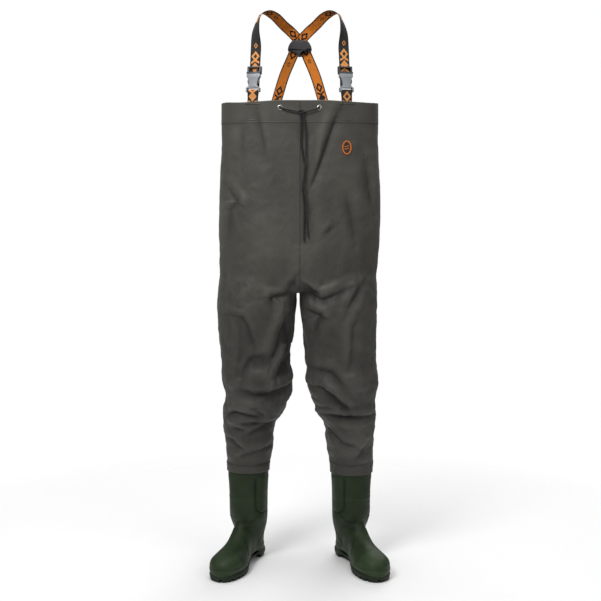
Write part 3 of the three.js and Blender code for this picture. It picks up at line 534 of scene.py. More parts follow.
def braid_finish(name, base):
    """Braided cord: two diagonal sets of strands crossing, painted darker between the strands as shade and
    lighter on their crowns as highlight.
    """
    finish = Finish(name, base, 0.72)
    one, other = (
        finish.wave(330, finish.stretch(finish.object, (1, 1, 1), (0, radians(slant), 0)), "Z")
        for slant in (40, -40)
    )
    strands = finish.math("MAXIMUM", one, other)
    # Painted shade between the strands and painted highlights on their crowns.
    finish.paint(finish.mix(strands, shade(base, 0.6), shade(base, 2.2)))
    finish.bump(strands, strength=0.8, distance=0.0006)
    finish.set(Sheen_Weight=0.1)
    return finish.material


def metal_finish(name, base):
    """Nickel plate with fine scuffs."""
    finish = Finish(name, base, 0.28, metallic=1.0)
    finish.roughen(finish.vary(finish.noise(scale=220, detail=3), 0.22, 0.4))
    finish.bump(finish.noise(scale=320, detail=2), strength=0.1, distance=0.0002)
    return finish.material


# ------------------------------------------------------------------ shapes


def between(low, high, value):
    """0 below low and 1 above high, with a smooth rise from one to the other."""
    share = np.clip((value - low) / (high - low), 0, 1)
    return share * share * (3 - 2 * share)


def swell(distance, width):
    """1 at no distance, falling smoothly to nearly 0 at twice the width."""
    return np.exp(-((distance / width) ** 2))


def outline_point(section, across, along):
    """Where a point of the unit circle goes on a section."""
    power = 2 / section.power
    reach = section.front if along < 0 else section.back
    x = np.sign(across) * abs(across) ** power * section.half
    y = np.sign(along) * abs(along) ** power * reach
    return Vector((section.x + x, section.y + y, section.z)) * MM


def section_at(sections, z):
    """The section at a height, on smooth curves through the given ones."""
    index = max(i for i in range(len(sections) - 1) if sections[i].z <= z or i == 0)
    low, high = sections[index], sections[index + 1]
    before, after = sections[max(index - 1, 0)], sections[min(index + 2, len(sections) - 1)]
    gap = high.z - low.z
    t = min(max((z - low.z) / gap, 0), 1)
    values = []
    for a, b, c, d in zip(before, low, high, after):
        leave = (c - a) / (high.z - before.z) * gap if high.z > before.z else 0
        arrive = (d - b) / (after.z - low.z) * gap if after.z > low.z else 0
        if (c - b) * leave < 0 or b == c:
            leave = 0
        if (c - b) * arrive < 0 or b == c:
            arrive = 0
        values.append(
            (2 * t**3 - 3 * t**2 + 1) * b + (t**3 - 2 * t**2 + t) * leave
            + (3 * t**2 - 2 * t**3) * c + (t**3 - t**2) * arrive
        )
    return Section(*values)._replace(z=z)


def taken_in(section, amount):
    """A section made smaller by an amount all round."""
    return section._replace(
        half=section.half - amount, front=section.front - amount, back=section.back - amount
    )


def levels(sections, step):
    """Sections about a step apart, from the lowest to the highest."""
    low, high = sections[0].z, sections[-1].z
    count = max(1, round((high - low) / step))
    return [section_at(sections, low + (high - low) * i / count) for i in range(count + 1)]


def ring_edges(bm, count, point_at):
    """A ring, each of its points put where its number and its place on a unit circle say."""
    verts = bmesh.ops.create_circle(bm, segments=count, radius=1)["verts"]
    for number, vert in enumerate(verts):
        vert.co = point_at(number, vert.co)
    return list(dict.fromkeys(edge for vert in verts for edge in vert.link_edges))


def bridged(bm, rings, capped=True):
    """Joins rings of edges, each to the next, and closes both ends."""
    for lower, upper in zip(rings, rings[1:]):
        bmesh.ops.bridge_loops(bm, edges=lower + upper)
    if capped:
        for ring in (rings[0], rings[-1]):
            bmesh.ops.contextual_create(bm, geom=ring)
    bmesh.ops.recalc_face_normals(bm, faces=bm.faces)


def loft(bm, sections, sides, capped=True, point_on=outline_point):
    """A form through sections, from the first to the last."""
    rings = [
        ring_edges(bm, sides, lambda _, spot: point_on(section, spot.x, spot.y)) for section in sections
    ]
    bridged(bm, rings, capped)


def ring_loft(bm, rings):
    """A form through rings of given points, closed at both ends."""
    bridged(bm, [ring_edges(bm, len(ring), lambda number, _: ring[number]) for ring in rings])


def to_mesh(bm, name, sharp=None):
    """A smooth-shaded mesh, with edges over an angle in degrees kept sharp, and the bmesh freed."""
    mesh = bpy.data.meshes.new(name)
    for face in bm.faces:
        face.smooth = True
    bm.to_mesh(mesh)
    bm.free()
    if sharp:
        mesh.set_sharp_from_angle(angle=radians(sharp))
    return mesh


def place(name, mesh, finishes, slot, body="waders", stands_for=(), wall=None, offset=-1):
    """Adds a finished piece, riding on its body if it is given one, and gives a sheet its wall."""
    piece = bpy.data.objects.new(name, mesh)
    bpy.context.scene.collection.objects.link(piece)
    for finish in finishes:
        mesh.materials.append(finish)
    if wall:
        solidify = piece.modifiers.new("Wall", "SOLIDIFY")
        solidify.thickness = wall
        solidify.offset = offset
        solidify.material_offset = len(finishes) - 1
        solidify.material_offset_rim = len(finishes) - 1 if slot != "webbing" else 0
    if body:
        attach(piece, body)
    if stands_for:
        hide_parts(*stands_for)
    return piece


def remeshed(bm, grid):
    """The outer skin of overlapping closed forms, on an even grid."""
    mesh = to_mesh(bm, "rough")
    rough = bpy.data.objects.new("rough", mesh)
    bpy.context.scene.collection.objects.link(rough)
    remesh = rough.modifiers.new("Skin", "REMESH")
    remesh.mode = "VOXEL"
    remesh.voxel_size = grid
    remesh.use_smooth_shade = True
    graph = bpy.context.evaluated_depsgraph_get()
    skin = bpy.data.meshes.new_from_object(rough.evaluated_get(graph))
    bpy.data.objects.remove(rough)
    bpy.data.meshes.remove(mesh)
    bm = bmesh.new()
    bm.from_mesh(skin)
    bpy.data.meshes.remove(skin)
    return bm


def smooth(bm, verts, times):
    for _ in range(times):
        bmesh.ops.smooth_vert(
            bm, verts=verts, factor=0.5, use_axis_x=True, use_axis_y=True, use_axis_z=True
        )


def keep(bm, *planes):
    """Cuts a mesh and keeps what lies behind each plane, given as a point and a direction."""
    for point, direction in planes:
        bmesh.ops.bisect_plane(
            bm, geom=bm.verts[:] + bm.edges[:] + bm.faces[:], plane_co=Vector(point) * MM,
            plane_no=direction, clear_outer=True,
        )
    return bm


def read_points(mesh):
    """A mesh's points in millimetres, and its normals."""
    points = np.empty(len(mesh.vertices) * 3, np.float32)
    mesh.vertices.foreach_get("co", points)
    normals = np.empty(len(mesh.vertices) * 3, np.float32)
    mesh.vertex_normals.foreach_get("vector", normals)
    return points.reshape(-1, 3).astype(float) / MM, normals.reshape(-1, 3).astype(float)


def write_points(mesh, points):
    mesh.vertices.foreach_set("co", (points * MM).astype(np.float32).ravel())
    mesh.update()


def mark_creases(mesh, depth):
    """Keeps how deep each point lies for the materials, from -1, proud, to 1, in a crease, which they turn
    into painted shade and painted highlights.
    """
    crease = mesh.attributes.new("crease", "FLOAT", "POINT")
    crease.data.foreach_set("value", np.clip(depth, -1, 1).astype(np.float32))


def cloudy(points, scale, seed):
    """Noise at each point, from -1 to 1, stretched by scale in millimetres on each axis."""
    shift = Vector((seed * 7.3, seed * 3.1, seed * 5.7))
    return np.array([noise.noise(Vector(point) + shift) for point in (points / np.array(scale)).tolist()])


def distance_to(x, z, line):
    """How far each point is from a line of straight stretches."""
    nearest = np.full(len(x), np.inf)
    for (ax, az), (bx, bz) in zip(line, line[1:]):
        run_x, run_z = bx - ax, bz - az
        t = np.clip(((x - ax) * run_x + (z - az) * run_z) / (run_x**2 + run_z**2), 0, 1)
        nearest = np.minimum(nearest, np.hypot(x - ax - t * run_x, z - az - t * run_z))
    return nearest


UPPER_REACH, LOWER_REACH = 0.45, 1.2  # how far a crease's two sides reach, in its widths
LIP_AWAY = 1.6
UPPER_LIP, LOWER_LIP = 0.5, 0.12


def fold_height(x, z, fold):
    """The height of one fold at each point: a crease, steep above and easy below, with a raised lip."""
    line = np.array(fold.points, float)
    nearest, along, start = np.full(len(x), np.inf), np.zeros(len(x)), 0.0
    over = np.zeros(len(x))
    lengths = np.hypot(*(line[1:] - line[:-1]).T)
    for (ax, az), (bx, bz), span in zip(line[:-1], line[1:], lengths):
        run_x, run_z = bx - ax, bz - az
        t = np.clip(((x - ax) * run_x + (z - az) * run_z) / span**2, 0, 1)
        gap = np.hypot(x - ax - t * run_x, z - az - t * run_z)
        rise = ((z - az) * run_x - (x - ax) * run_z) / span * (1 if bx > ax else -1)
        closer = gap < nearest
        nearest[closer] = gap[closer]
        along[closer] = (start + t * span)[closer]
        over[closer] = rise[closer]
        start += span
    taper = np.sin(pi * np.clip(along / start, 0.03, 0.97)) ** 0.5
    upper = over > 0
    reach = np.where(upper, UPPER_REACH, LOWER_REACH) * fold.width
    valley = np.exp(-((nearest / reach) ** (0.7 * fold.power)))
    lip = swell(nearest - LIP_AWAY * fold.width, fold.width) * np.where(upper, UPPER_LIP, LOWER_LIP)
    return fold.depth * taper * (valley - lip)


# ------------------------------------------------------------------ garment

SEAM_POINT = (0, CHEST_Y, RIM)
SEAM_DIRECTION = Vector((0, RIM - LEG_END, SHAFT_Y - CHEST_Y)).normalized()
SWAY = 5  # how far the thighs lean to one side
CROTCH_LIFT, CROTCH_REACH = 13, (30, 48)
RIGHT_ENDS_HIGHER = 7
HEM_PROUD = 0.7  # the doubled cloth of the hem stands out by this much
CORD_ROOM = 4  # the cloth stays this far back beside the drawcord's ends
BADGE_REACH = (30, 34)

# Unevenness of the cloth: its size across, back and up, its height, and its seed.
Crinkle = namedtuple("Crinkle", "scale height seed")
BILLOW = Crinkle((95, 95, 210), 3.4, 1)
SLUMP = Crinkle((60, 60, 26), 2.4, 3)  # of the cloth that bunches above the boots
HEM_WAVE = Crinkle((70, 70, 300), 0.9, 5)
RIM_WAVE = Crinkle((80, 80, 400), 4, 6)
FACING_WAVE = Crinkle((60, 60, 300), 0.5, 5)
RIDGES = (
    Crinkle((70, 70, 110), 4, 4), Crinkle((34, 34, 46), 2.6, 2), Crinkle((17, 17, 22), 1.2, 9),
)


def uneven(points, crinkle):
    return cloudy(points, crinkle.scale, crinkle.seed) * crinkle.height


def ruffled(points):
    """Lets the rim rise and dip a little."""
    x, z = points[:, 0], points[:, 2]
    wave = uneven(points, RIM_WAVE) + np.sin(x / 47 + 0.8) * 1.2
    points[:, 2] += wave * between(1305, RIM, z)
    return points


def rough_skin(sizes):
    """The trouser shape as one open sheet, still plain, and the same on both sides."""
    bm = bmesh.new()
    loft(bm, levels(TORSO, 12), 96)
    loft(bm, levels(LEG, 12), 72)
    bm = remeshed(bm, sizes.fabric_grid)
    smooth(bm, bm.verts, 4)
    smooth(bm, [v for v in bm.verts if 770 < v.co.z / MM < 930 and v.co.x > 0], 8)
    keep(bm, below(RIM), above(LEG_END), beyond(0, 1))
    bmesh.ops.mirror(bm, geom=bm.verts[:] + bm.edges[:] + bm.faces[:], axis="X", merge_dist=0.2 * MM)
    bmesh.ops.recalc_face_normals(bm, faces=bm.faces)
    return to_mesh(bm, "garment_skin")


def fold_heights(points, normals):
    """How far the folds of the front and the back move each point."""
    x, _, z = points.T
    front = between(-0.35, 0.15, -normals[:, 1])
    height = sum(fold_height(x, z, fold) for fold in FRONT_FOLDS) * front
    height += sum(fold_height(x, z, fold) for fold in BACK_FOLDS) * between(-0.3, 0.2, normals[:, 1])
    return height, front


def crinkle_heights(points):
    """How far billows, slumped cloth and ridged crinkles move each point."""
    z = points[:, 2]
    leg = 1 - between(820, 960, z)
    loose = between(268, 300, z) * (1 - between(1240, 1290, z))
    height = uneven(points, BILLOW) * loose
    height += uneven(points, SLUMP) * between(280, 330, z) * (1 - between(470, 640, z))
    for ridge in RIDGES:
        ridged = abs(cloudy(points, ridge.scale, ridge.seed))
        height += (0.3 - ridged) * ridge.height * loose * (0.45 + 0.55 * leg)
    return height + uneven(points, HEM_WAVE) * between(1240, 1290, z), loose


def garment_skin(sizes):
    """The trouser shape as one open sheet, folded and crinkled."""
    skin = rough_skin(sizes)
    points, normals = read_points(skin)
    normals[abs(points[:, 0]) < 0.3, 0] = 0
    x, _, z = points.T
    folds, front = fold_heights(points, normals)
    crinkles, loose = crinkle_heights(points)
    height = (folds + crinkles) * sizes.fold_depth * between(LEG_END, LEG_END + 26, z)
    height += HEM_PROUD * between(HEM_LINE - 4, HEM_LINE + 2, z)
    cord_path = between(-40, -20, x) * (1 - between(40, 60, x)) * between(930, 960, z) * front
    under_cord = np.minimum(height, HEM_PROUD + (1 - cord_path) * CORD_ROOM)
    height = np.where(cord_path > 0.01, under_cord, height)
    height *= 1 - swell(x - BADGE_X, BADGE_REACH[0]) * swell(z - BADGE_Z, BADGE_REACH[1]) * front
    near_hem = between(1200, 1290, z)
    # Crease depths, from which the fabric's material paints shade into creases and highlights onto proud
    # cloth.
    mark_creases(skin, (0.4 - height) / 7 * (loose * (1 - near_hem) + near_hem))
    inner_leg = (abs(normals[:, 0]) > 0.35) & (abs(x) > 0.3) & (z < CROTCH + 8) & (z > CROTCH - 60)
    height[inner_leg & (abs(x) < 25)] *= 0.3
    points += normals * height[:, None]
    close = inner_leg & (abs(points[:, 0]) < 4)
    points[close, 0] = 4 * np.sign(x[close])
    x, _, z = points.T
    points[:, 2] += CROTCH_LIFT * swell(x, CROTCH_REACH[0]) * swell(z - CROTCH, CROTCH_REACH[1])
    points[:, 0] -= SWAY * between(540, 640, z) * (1 - between(860, 960, z))
    points[:, 2] += RIGHT_ENDS_HIGHER * (x < 0) * (1 - between(LEG_END + 2, LEG_END + 90, z))
    write_points(skin, ruffled(points))
    return skin


def seam_plane(offset, back=True):
    """The side seams' plane, moved back by an offset, keeping what is behind or in front."""
    point = Vector(SEAM_POINT) + SEAM_DIRECTION * offset
    return (point, -SEAM_DIRECTION if back else SEAM_DIRECTION)


# A strip lies so high on the cloth, and is so thick. A negative lift puts it inside.
Layer = namedtuple("Layer", "lift wall finish slot")


def band(skin, name, planes, layer, stands_for=()):
    """A strip of the garment's own surface, lifted off it."""
    bm = bmesh.new()
    bm.from_mesh(skin)
    keep(bm, *planes)
    mesh = to_mesh(bm, name)
    points, normals = read_points(mesh)
    write_points(mesh, points + normals * layer.lift)
    place(name, mesh, [layer.finish], layer.slot, stands_for=stands_for, wall=layer.wall * MM, offset=0)


def strip(half_width):
    """Two planes that keep what is within half_width of the middle."""
    return within(half_width, 1), within(half_width, -1)


def above(z):
    return ((0, 0, z), (0, 0, -1))


def below(z):
    return ((0, 0, z), (0, 0, 1))


def beyond(x, side):
    """Keeps what is further out than x on one side."""
    return ((side * x, 0, 0), (-side, 0, 0))


def within(x, side):
    """Keeps what is no further out than x on one side."""
    return ((side * x, 0, 0), (side, 0, 0))


LINE_HALF, TAPE_HALF = 1.3, 10  # half the widths of a weld line and of a seam tape
TAPE_TOP = HEM_LINE - 6


class WADERS_OT_garment(bpy.types.Operator):
    """Fabric panels with their seams, welds and inner tapes"""

    bl_idname = "waders.garment"
    bl_label = "Garment"

    def execute(self, context):
        sizes, colours = context.scene.waders_sizes, context.scene.waders_colours
        fabric = fabric_finish("coated_nylon", tuple(colours.fabric))
        weld = fabric_finish("weld_line", shade(colours.fabric, 0.78), 0.5)
        tape = fabric_finish("seam_tape", tuple(colours.tape), 0.5)
        skin = garment_skin(sizes)
        for side_name in SIDES:
            for face in ("front", "back"):
                self.panel(skin, face, side_name, sizes, fabric)
        line = Layer(0.25, 0.7, weld, "fabric")
        inside = Layer(-sizes.fabric_wall / MM - 0.9, 0.5, tape, "seam_tape")
        front, back = seam_plane(-5, False), seam_plane(5, True)
        above_crotch = above(CROTCH + 9)
        band(skin, "centre_seam_front", [*strip(LINE_HALF), front, above_crotch], line)
        band(skin, "centre_seam_back", [*strip(LINE_HALF), back, above_crotch], line)
        band(skin, "hem_weld", [above(HEM_LINE - 1.2), below(HEM_LINE + 1.2)], line._replace(lift=0.3))
        for side_name, side in SIDES.items():
            self.side_seams(skin, side_name, side, line, inside)
            self.ankle(skin, side_name, side, line, fabric)
            self.tab_stitches(skin, side_name, side, Layer(0.45, 0.9, tape, "seam_tape"), front)
        long_run = above(CROTCH + 11), below(TAPE_TOP)
        for face, plane in (("front", front), ("back", back)):
            planes = [*strip(TAPE_HALF), plane, *long_run]
            band(skin, f"centre_tape_{face}", planes, inside, [f"seam_tape_{face}"])
        bpy.data.meshes.remove(skin)
        return {"FINISHED"}

    def panel(self, skin, face, side_name, sizes, fabric):
        """One of the four pieces of cloth, cut from the skin along its seams."""
        bm = bmesh.new()
        bm.from_mesh(skin)
        keep(bm, beyond(0, SIDES[side_name]), seam_plane(0, face == "back"))
        name = f"{face}_panel_{side_name}"
        mesh = to_mesh(bm, name + "_cloth")
        cloth = place(name + "_cloth", mesh, [fabric], "fabric", stands_for=[name], wall=sizes.fabric_wall)

    def side_seams(self, skin, side_name, side, line, inside):
        """The outer seam and the inseam, each with a tape behind it."""
        seam = seam_plane(1.4, False), seam_plane(-1.4, True)
        taped = seam_plane(TAPE_HALF, False), seam_plane(-TAPE_HALF, True)
        outer, inner = [beyond(SHAFT_X + 5, side)], [beyond(5, side), within(SHAFT_X - 12, side)]
        tape_foot = above(LEG_END + 26)
        band(skin, f"side_seam_{side_name}", [*seam, *outer], line)
        band(skin, f"inseam_{side_name}", [*seam, *inner, below(CROTCH - 13)], line)
        band(skin, f"side_tape_{side_name}", [*taped, *outer, tape_foot, below(TAPE_TOP)], inside,
             [f"side_seam_tape_{side_name}"])
        band(skin, f"inseam_strip_{side_name}", [*taped, *inner, tape_foot, below(CROTCH - 21)], inside,
             [f"inseam_tape_{side_name}"])

    def ankle(self, skin, side_name, side, line, fabric):
        """The welded cuff where a leg goes over its boot."""
        top = LEG_END + 29.5
        band(skin, f"ankle_weld_{side_name}", [above(top - 0.5), below(top + 2), beyond(0, side)],
             line._replace(lift=0.9, wall=0.8))
        band(skin, f"ankle_band_{side_name}", [above(LEG_END + 1), below(top), beyond(0, side)],
             Layer(0.5, 0.6, fabric, "fabric"), [f"boot_joint_tape_{side_name}"])

    def tab_stitches(self, skin, side_name, side, thread, front):
        """Two rows of stitching that hold a front tab behind the hem."""
        planes = [above(1342.5), below(1344.5), beyond(107, side), within(151, side), front]
        band(skin, f"tab_stitch_{side_name}", planes, thread)
        planes = [above(1300), below(1301.6), beyond(119, side), within(144, side), front]
        band(skin, f"tab_stitch_lower_{side_name}", planes, thread._replace(lift=0.4, wall=0.8))


# The facing's cut outline, from the rim inward and down: how far in, and how high.
FACING = [
    (1.4, 1348.6), (3.2, 1350.4), (6, 1350.9), (8.8, 1349.6), (10.4, 1346.4), (11, 1340), (11.2, 1333),
    (10.8, 1327), (8.6, 1322.6), (5.8, 1319.8), (4.6, 1314), (4.4, 1305), (4.3, 1295.4),
]


class WADERS_OT_hem(bpy.types.Operator):
    """Turned-down hem with the drawcord tunnel inside the chest"""

    bl_idname = "waders.hem"
    bl_label = "Hem facing"

    def execute(self, context):
        bm = bmesh.new()
        loft(bm, [taken_in(CHEST, depth)._replace(z=z) for depth, z in FACING], 160, capped=False)
        tall = [e for e in bm.edges if abs(e.verts[0].co.z - e.verts[1].co.z) > 4 * MM]
        bmesh.ops.subdivide_edges(bm, edges=tall, cuts=1)
        mesh = to_mesh(bm, "hem_facing_cloth")
        points, normals = read_points(mesh)
        wave = uneven(points, FACING_WAVE)
        write_points(mesh, ruffled(points) + normals * wave[:, None])
        finish = fabric_finish("hem_fabric", tuple(context.scene.waders_colours.fabric))
        place("hem_facing_cloth", mesh, [finish], "fabric", stands_for=["hem_facing"], wall=0.8 * MM,
              offset=0)
        return {"FINISHED"}


# ------------------------------------------------------------------ drawcord

# The two free lengths of the cord, from behind each eyelet through it to the knot and down.
CORD_ROUTES = {
    "right": [
        (-62, -88.9, 1333), (-58, -88.8, 1333), (-55, -89.8, 1333), (-54, -92.6, 1333), (-54, -97, 1333),
        (-53.4, -100.4, 1332.6), (-50.5, -103, 1331.6), (-44, -104.4, 1329.6), (-32, -105.2, 1326.4),
        (-22, -105.8, 1324.4), (-12, -106, 1323), (-5, -106, 1320.6), (-0.2, -106, 1316.4), (2, -106, 1311.5),
        (3.4, -105.6, 1302), (4, -105.4, 1290), (2.5, -105.2, 1262), (3, -105.2, 1235), (7, -105.2, 1210),
        (11, -105.4, 1188), (14.5, -105.6, 1172), (13.5, -105.8, 1155), (9, -106, 1130), (7.5, -106, 1107),
        (10, -106.2, 1085), (12.2, -106.4, 1060), (12.2, -106.6, 1030), (11.6, -107, 1000), (12, -107.2, 965),
    ],
    "left": [
        (62, -88.9, 1333), (58, -88.8, 1333), (55, -89.8, 1333), (54, -92.6, 1333), (54, -97, 1333),
        (53.6, -100.4, 1332.6), (51.5, -103, 1331.4), (46, -104.4, 1329), (38, -105.2, 1326.6),
        (31, -105.8, 1324.6), (24, -106, 1323), (17, -106, 1320.6), (12.2, -106, 1316.4), (10, -106, 1311.5),
        (11.6, -105.8, 1302), (13, -105.6, 1290), (16, -105.8, 1262), (16.6, -106.6, 1235),
        (16, -108.4, 1210),
        (15.4, -110.6, 1188), (13.6, -111.6, 1165), (12, -111.8, 1145), (12.4, -111.4, 1120),
        (14.4, -110.2, 1095), (17.2, -108.8, 1065), (18.6, -107.8, 1040), (20.4, -107.4, 1010),
        (24, -107.4, 977),
    ],
}
KNOT_CENTRE = Vector((6, -106.2, 1320.6))
KNOT_STEPS = 96
TUNNEL_DEPTH = 6.85  # from the rim's outside to the middle of the cord in the tunnel
EYELET_ANGLE = 0.309  # from the front to where the cord comes out, in radians round the rim


def knot_point(step):
    """A trefoil: where the tie's line is at a step on its way round."""
    turn = tau * step / KNOT_STEPS
    across = 2.9 * (sin(turn) + 2 * sin(2 * turn))
    back = -2.4 * sin(3 * turn)
    up = 2.1 * (cos(turn) - 2 * cos(2 * turn))
    return (KNOT_CENTRE + Vector((across, back, up))) * MM


def knot_gap(a, b, otherwise):
    """The root of the distance between two controls, or another gap where they meet."""
    gap = (b - a).length ** 0.5
    return gap if gap > 1e-4 else otherwise


def curve_point(controls, t):
    """A point on the centripetal curve through the controls, with t from 0 to 1."""
    last = len(controls) - 1
    index = min(int(t * last), last - 1)
    weight = t * last - index
    one, two = controls[index], controls[index + 1]
    zero = controls[index - 1] if index else 2 * one - two
    three = controls[index + 2] if index + 2 <= last else 2 * two - one
    middle = knot_gap(one, two, 1.0)
    first = knot_gap(zero, one, middle)
    final = knot_gap(two, three, middle)
    leave = ((one - zero) / first - (two - zero) / (first + middle) + (two - one) / middle) * middle
    arrive = ((two - one) / middle - (three - one) / (middle + final) + (three - two) / final) * middle
    return (
        one + leave * weight + (-3 * one + 3 * two - 2 * leave - arrive) * weight**2
        + (2 * one - 2 * two + leave + arrive) * weight**3
    )


def even_steps(controls, steps):
    """Curve shares that step evenly along its length, and the length."""
    fine = 24 * len(controls)
    points = [curve_point(controls, i / fine) for i in range(fine + 1)]
    run = [0.0]
    for a, b in zip(points, points[1:]):
        run.append(run[-1] + (b - a).length)
    goals = np.linspace(0, run[-1], steps + 1)
    return np.interp(goals, run, np.linspace(0, 1, fine + 1)), run[-1]


def closed_ring(outline, count, offset):
    """Points round a closed curve through an outline's points, grown by an offset."""
    closed = outline[-2:] + outline + outline[:3]
    ring = [curve_point(closed, (2 + len(outline) * i / count) / (len(closed) - 1)) for i in range(count)]
    grown = []
    for before, point, after in zip(ring[-1:] + ring[:-1], ring, ring[1:] + ring[:1]):
        grown.append(point + Vector((0, 0, 1)).cross(after - before).normalized() * offset)
    return grown


def cord_curve(name, points, diameter, finish, stands_for, cyclic=False):
    curve = bpy.data.curves.new(name, "CURVE")
    curve.dimensions = "3D"
    spline = curve.splines.new("POLY")
    spline.points.add(len(points) - 1)
    for knot, point in zip(spline.points, points):
        knot.co = (*point, 1)
    spline.use_cyclic_u = cyclic
    spline.use_smooth = True
    curve.bevel_depth = diameter / 2
    curve.bevel_resolution = 4
    curve.use_fill_caps = not cyclic
    return place(name, curve, [finish], "cord", stands_for=stands_for)


class WADERS_OT_drawcord(bpy.types.Operator):
    """Braided drawcord: the run in the tunnel, the two free ends and their knot"""

    bl_idname = "waders.drawcord"
    bl_label = "Drawcord"

    def execute(self, context):
        scene = context.scene
        diameter = scene.waders_sizes.cord_diameter
        finish = braid_finish("braided_cord", tuple(scene.waders_colours.cord))
        tie = [knot_point(step) for step in range(KNOT_STEPS)]
        knot = cord_curve("drawcord_tie", tie, diameter * 0.92, finish, ["drawcord_knot"], cyclic=True)
        for side_name, side in SIDES.items():
            controls = [Vector(p) * MM for p in CORD_ROUTES[side_name]]
            shares, run = even_steps(controls, 220)
            points = [curve_point(controls, t) for t in shares]
            nodes = [f"drawcord_front_{side_name}", f"drawcord_tail_{side_name}"]
            cord = cord_curve(f"drawcord_free_{side_name}", points, diameter, finish, nodes)
        ring = taken_in(CHEST, TUNNEL_DEPTH)
        around = [EYELET_ANGLE + (tau - 2 * EYELET_ANGLE) * i / 160 for i in range(161)]
        tunnel_run = [outline_point(ring, sin(angle), -cos(angle)) for angle in around]
        cord_curve("drawcord_tunnel_run", tunnel_run, diameter, finish, ["drawcord_in_hem"])
        return {"FINISHED"}


# ------------------------------------------------------------------ boots


def boot_place(side):
    """Turns a foot, made with its shaft on the origin, out to its place."""
    shaft = Vector((side * SHAFT_X, SHAFT_Y, 0)) * MM
    return Matrix.Translation(shaft) @ Matrix.Rotation(side * TOE_OUT, 4, "Z")


# Outline of the sole, outward and forward from the heel's middle, from the heel round the outer side.
SOLE = [
    (0, 76), (20, 70), (33, 52), (37, 22), (38, -20), (43, -60), (49, -100), (53, -135), (52.5, -165),
    (47, -195), (35, -216), (18, -227), (2, -231), (-17, -225), (-33, -206), (-42, -180), (-46, -150),
    (-44.5, -124), (-37, -94), (-27, -60), (-25, -35), (-31, -5), (-35, 25), (-33, 50), (-20, 70),
]
# Cuts across the foot: where, its two edges, its bottom and top, and how square it is.
Cut = namedtuple("Cut", "y inner outer low top power")
FOOT = [
    Cut(-231, -4, 9, 17, 36, 2.2), Cut(-228, -13, 19, 14, 47, 2.3),
    Cut(-221, -23, 30, 14, 56, 2.5), Cut(-210, -31, 39, 14, 62, 2.7),
    Cut(-195, -38.5, 46.5, 14, 66.5, 2.7), Cut(-175, -43.5, 51.5, 14, 69, 2.5),
    Cut(-150, -46.5, 53.5, 14, 71, 2.3), Cut(-125, -45, 53, 14, 75, 2.1),
    Cut(-100, -39.5, 50, 14.5, 83, 2), Cut(-75, -33, 46.5, 17, 99, 1.9),
    Cut(-50, -29, 43, 21, 130, 1.8), Cut(-25, -30, 40, 24, 148, 1.9),
    Cut(5, -32, 38, 24, 130, 2), Cut(30, -34, 36, 24, 95, 2.2),
]
SHAFT = [
    Section(24, 0.5, 22, 35.5, 40, 52, 2.3), Section(60, 0.5, 20, 36, 42, 52, 2.2),
    Section(99, 0.5, 12, 48, 50, 55, 2.1), Section(128, 0, 4, 54.5, 57, 57, 2.1),
    Section(154, 0, 1, 55.5, 62, 60, 2.1), Section(190, 0, 1, 55.5, 63, 61, 2.1),
    Section(241, 0, 0, 59, 59.5, 59.5, 2), Section(254, 0, 0, 60, 60, 60, 2),
    Section(285, 0, 0, 60, 60, 60, 2),
]


SILL = 18  # how far up a foot's sides turn from its flat underside
WELT_TOP, WELT_RISE = 34, 1.1
TOE_CAP_START = -158
RIBS = 134, 196
SIDE_GROOVES = [(-34, 148), (-62, 104), (-86, 74), (-104, 46)], [(62, 142), (40, 104), (14, 74), (-12, 46)]
PANEL_MIDDLE, PANEL_FOOT, PANEL_TOP, PANEL_HALF, PANEL_CORNER = -6, 176, 256, 14, 24
HEEL_KICK, HEEL_KICK_REACH = 97, (19, 6)
ANKLE_CREASES = [(-34, 128), (4, 120), (38, 128)], [(-30, 112), (4, 104), (36, 112)]


def cut_point(cut, across, up):
    """Where a point of the unit circle goes on a cut across the foot: flat below, arched above."""
    middle, half = (cut.outer + cut.inner) / 2, (cut.outer - cut.inner) / 2
    sill = cut.low + SILL
    x = middle + half * np.sign(across) * abs(across) ** (2 / cut.power)
    z = sill + (cut.top - sill) * up ** (2 / cut.power) if up > 0 else sill - SILL * abs(up) ** 0.5
    return Vector((x, cut.y, z)) * MM


def boot_relief(points):
    """Welts, panels, ribs and creases of a moulded boot, as a height at each point."""
    x, y, z = points.T
    above_welt = z - WELT_TOP - 8 * between(-70, -30, y)
    height = WELT_RISE * (1 - between(-2, 2, above_welt))
    toe_cap = TOE_CAP_START - y - 0.012 * x**2
    height += 0.8 * between(-1.6, 1.6, toe_cap) * between(2, 8, above_welt)
    for rib in RIBS:
        height += 0.7 * swell(z - rib, 1.9) * between(-25, 10, -y)
    for line in SIDE_GROOVES:
        height -= 1.6 * swell(distance_to(y, z, line), 2.8) * between(18, 28, abs(x - 4))
    sideways = np.maximum(abs(y - PANEL_MIDDLE) - PANEL_HALF, 0)
    away = np.hypot(sideways, np.maximum(PANEL_FOOT - z, 0)) - PANEL_CORNER
    inner_side = between(8, 18, -x) * (1 - between(PANEL_TOP, PANEL_TOP + 6, z))
    height += (0.5 * (1 - between(-2, 2, away)) - 2 * swell(away, 2.8)) * inner_side
    kick = swell(x, HEEL_KICK_REACH[0]) * swell(z - HEEL_KICK, HEEL_KICK_REACH[1])
    height += 5.5 * kick * between(36, 56, y)
    height += 0.8 * swell(x, 4) * between(40, 60, y) * between(110, 120, z)
    for crease in ANKLE_CREASES:
        height -= 0.6 * swell(distance_to(x, z, crease), 5) * between(10, 40, -y)
    return height + cloudy(points, (34, 34, 34), 7) * 0.7


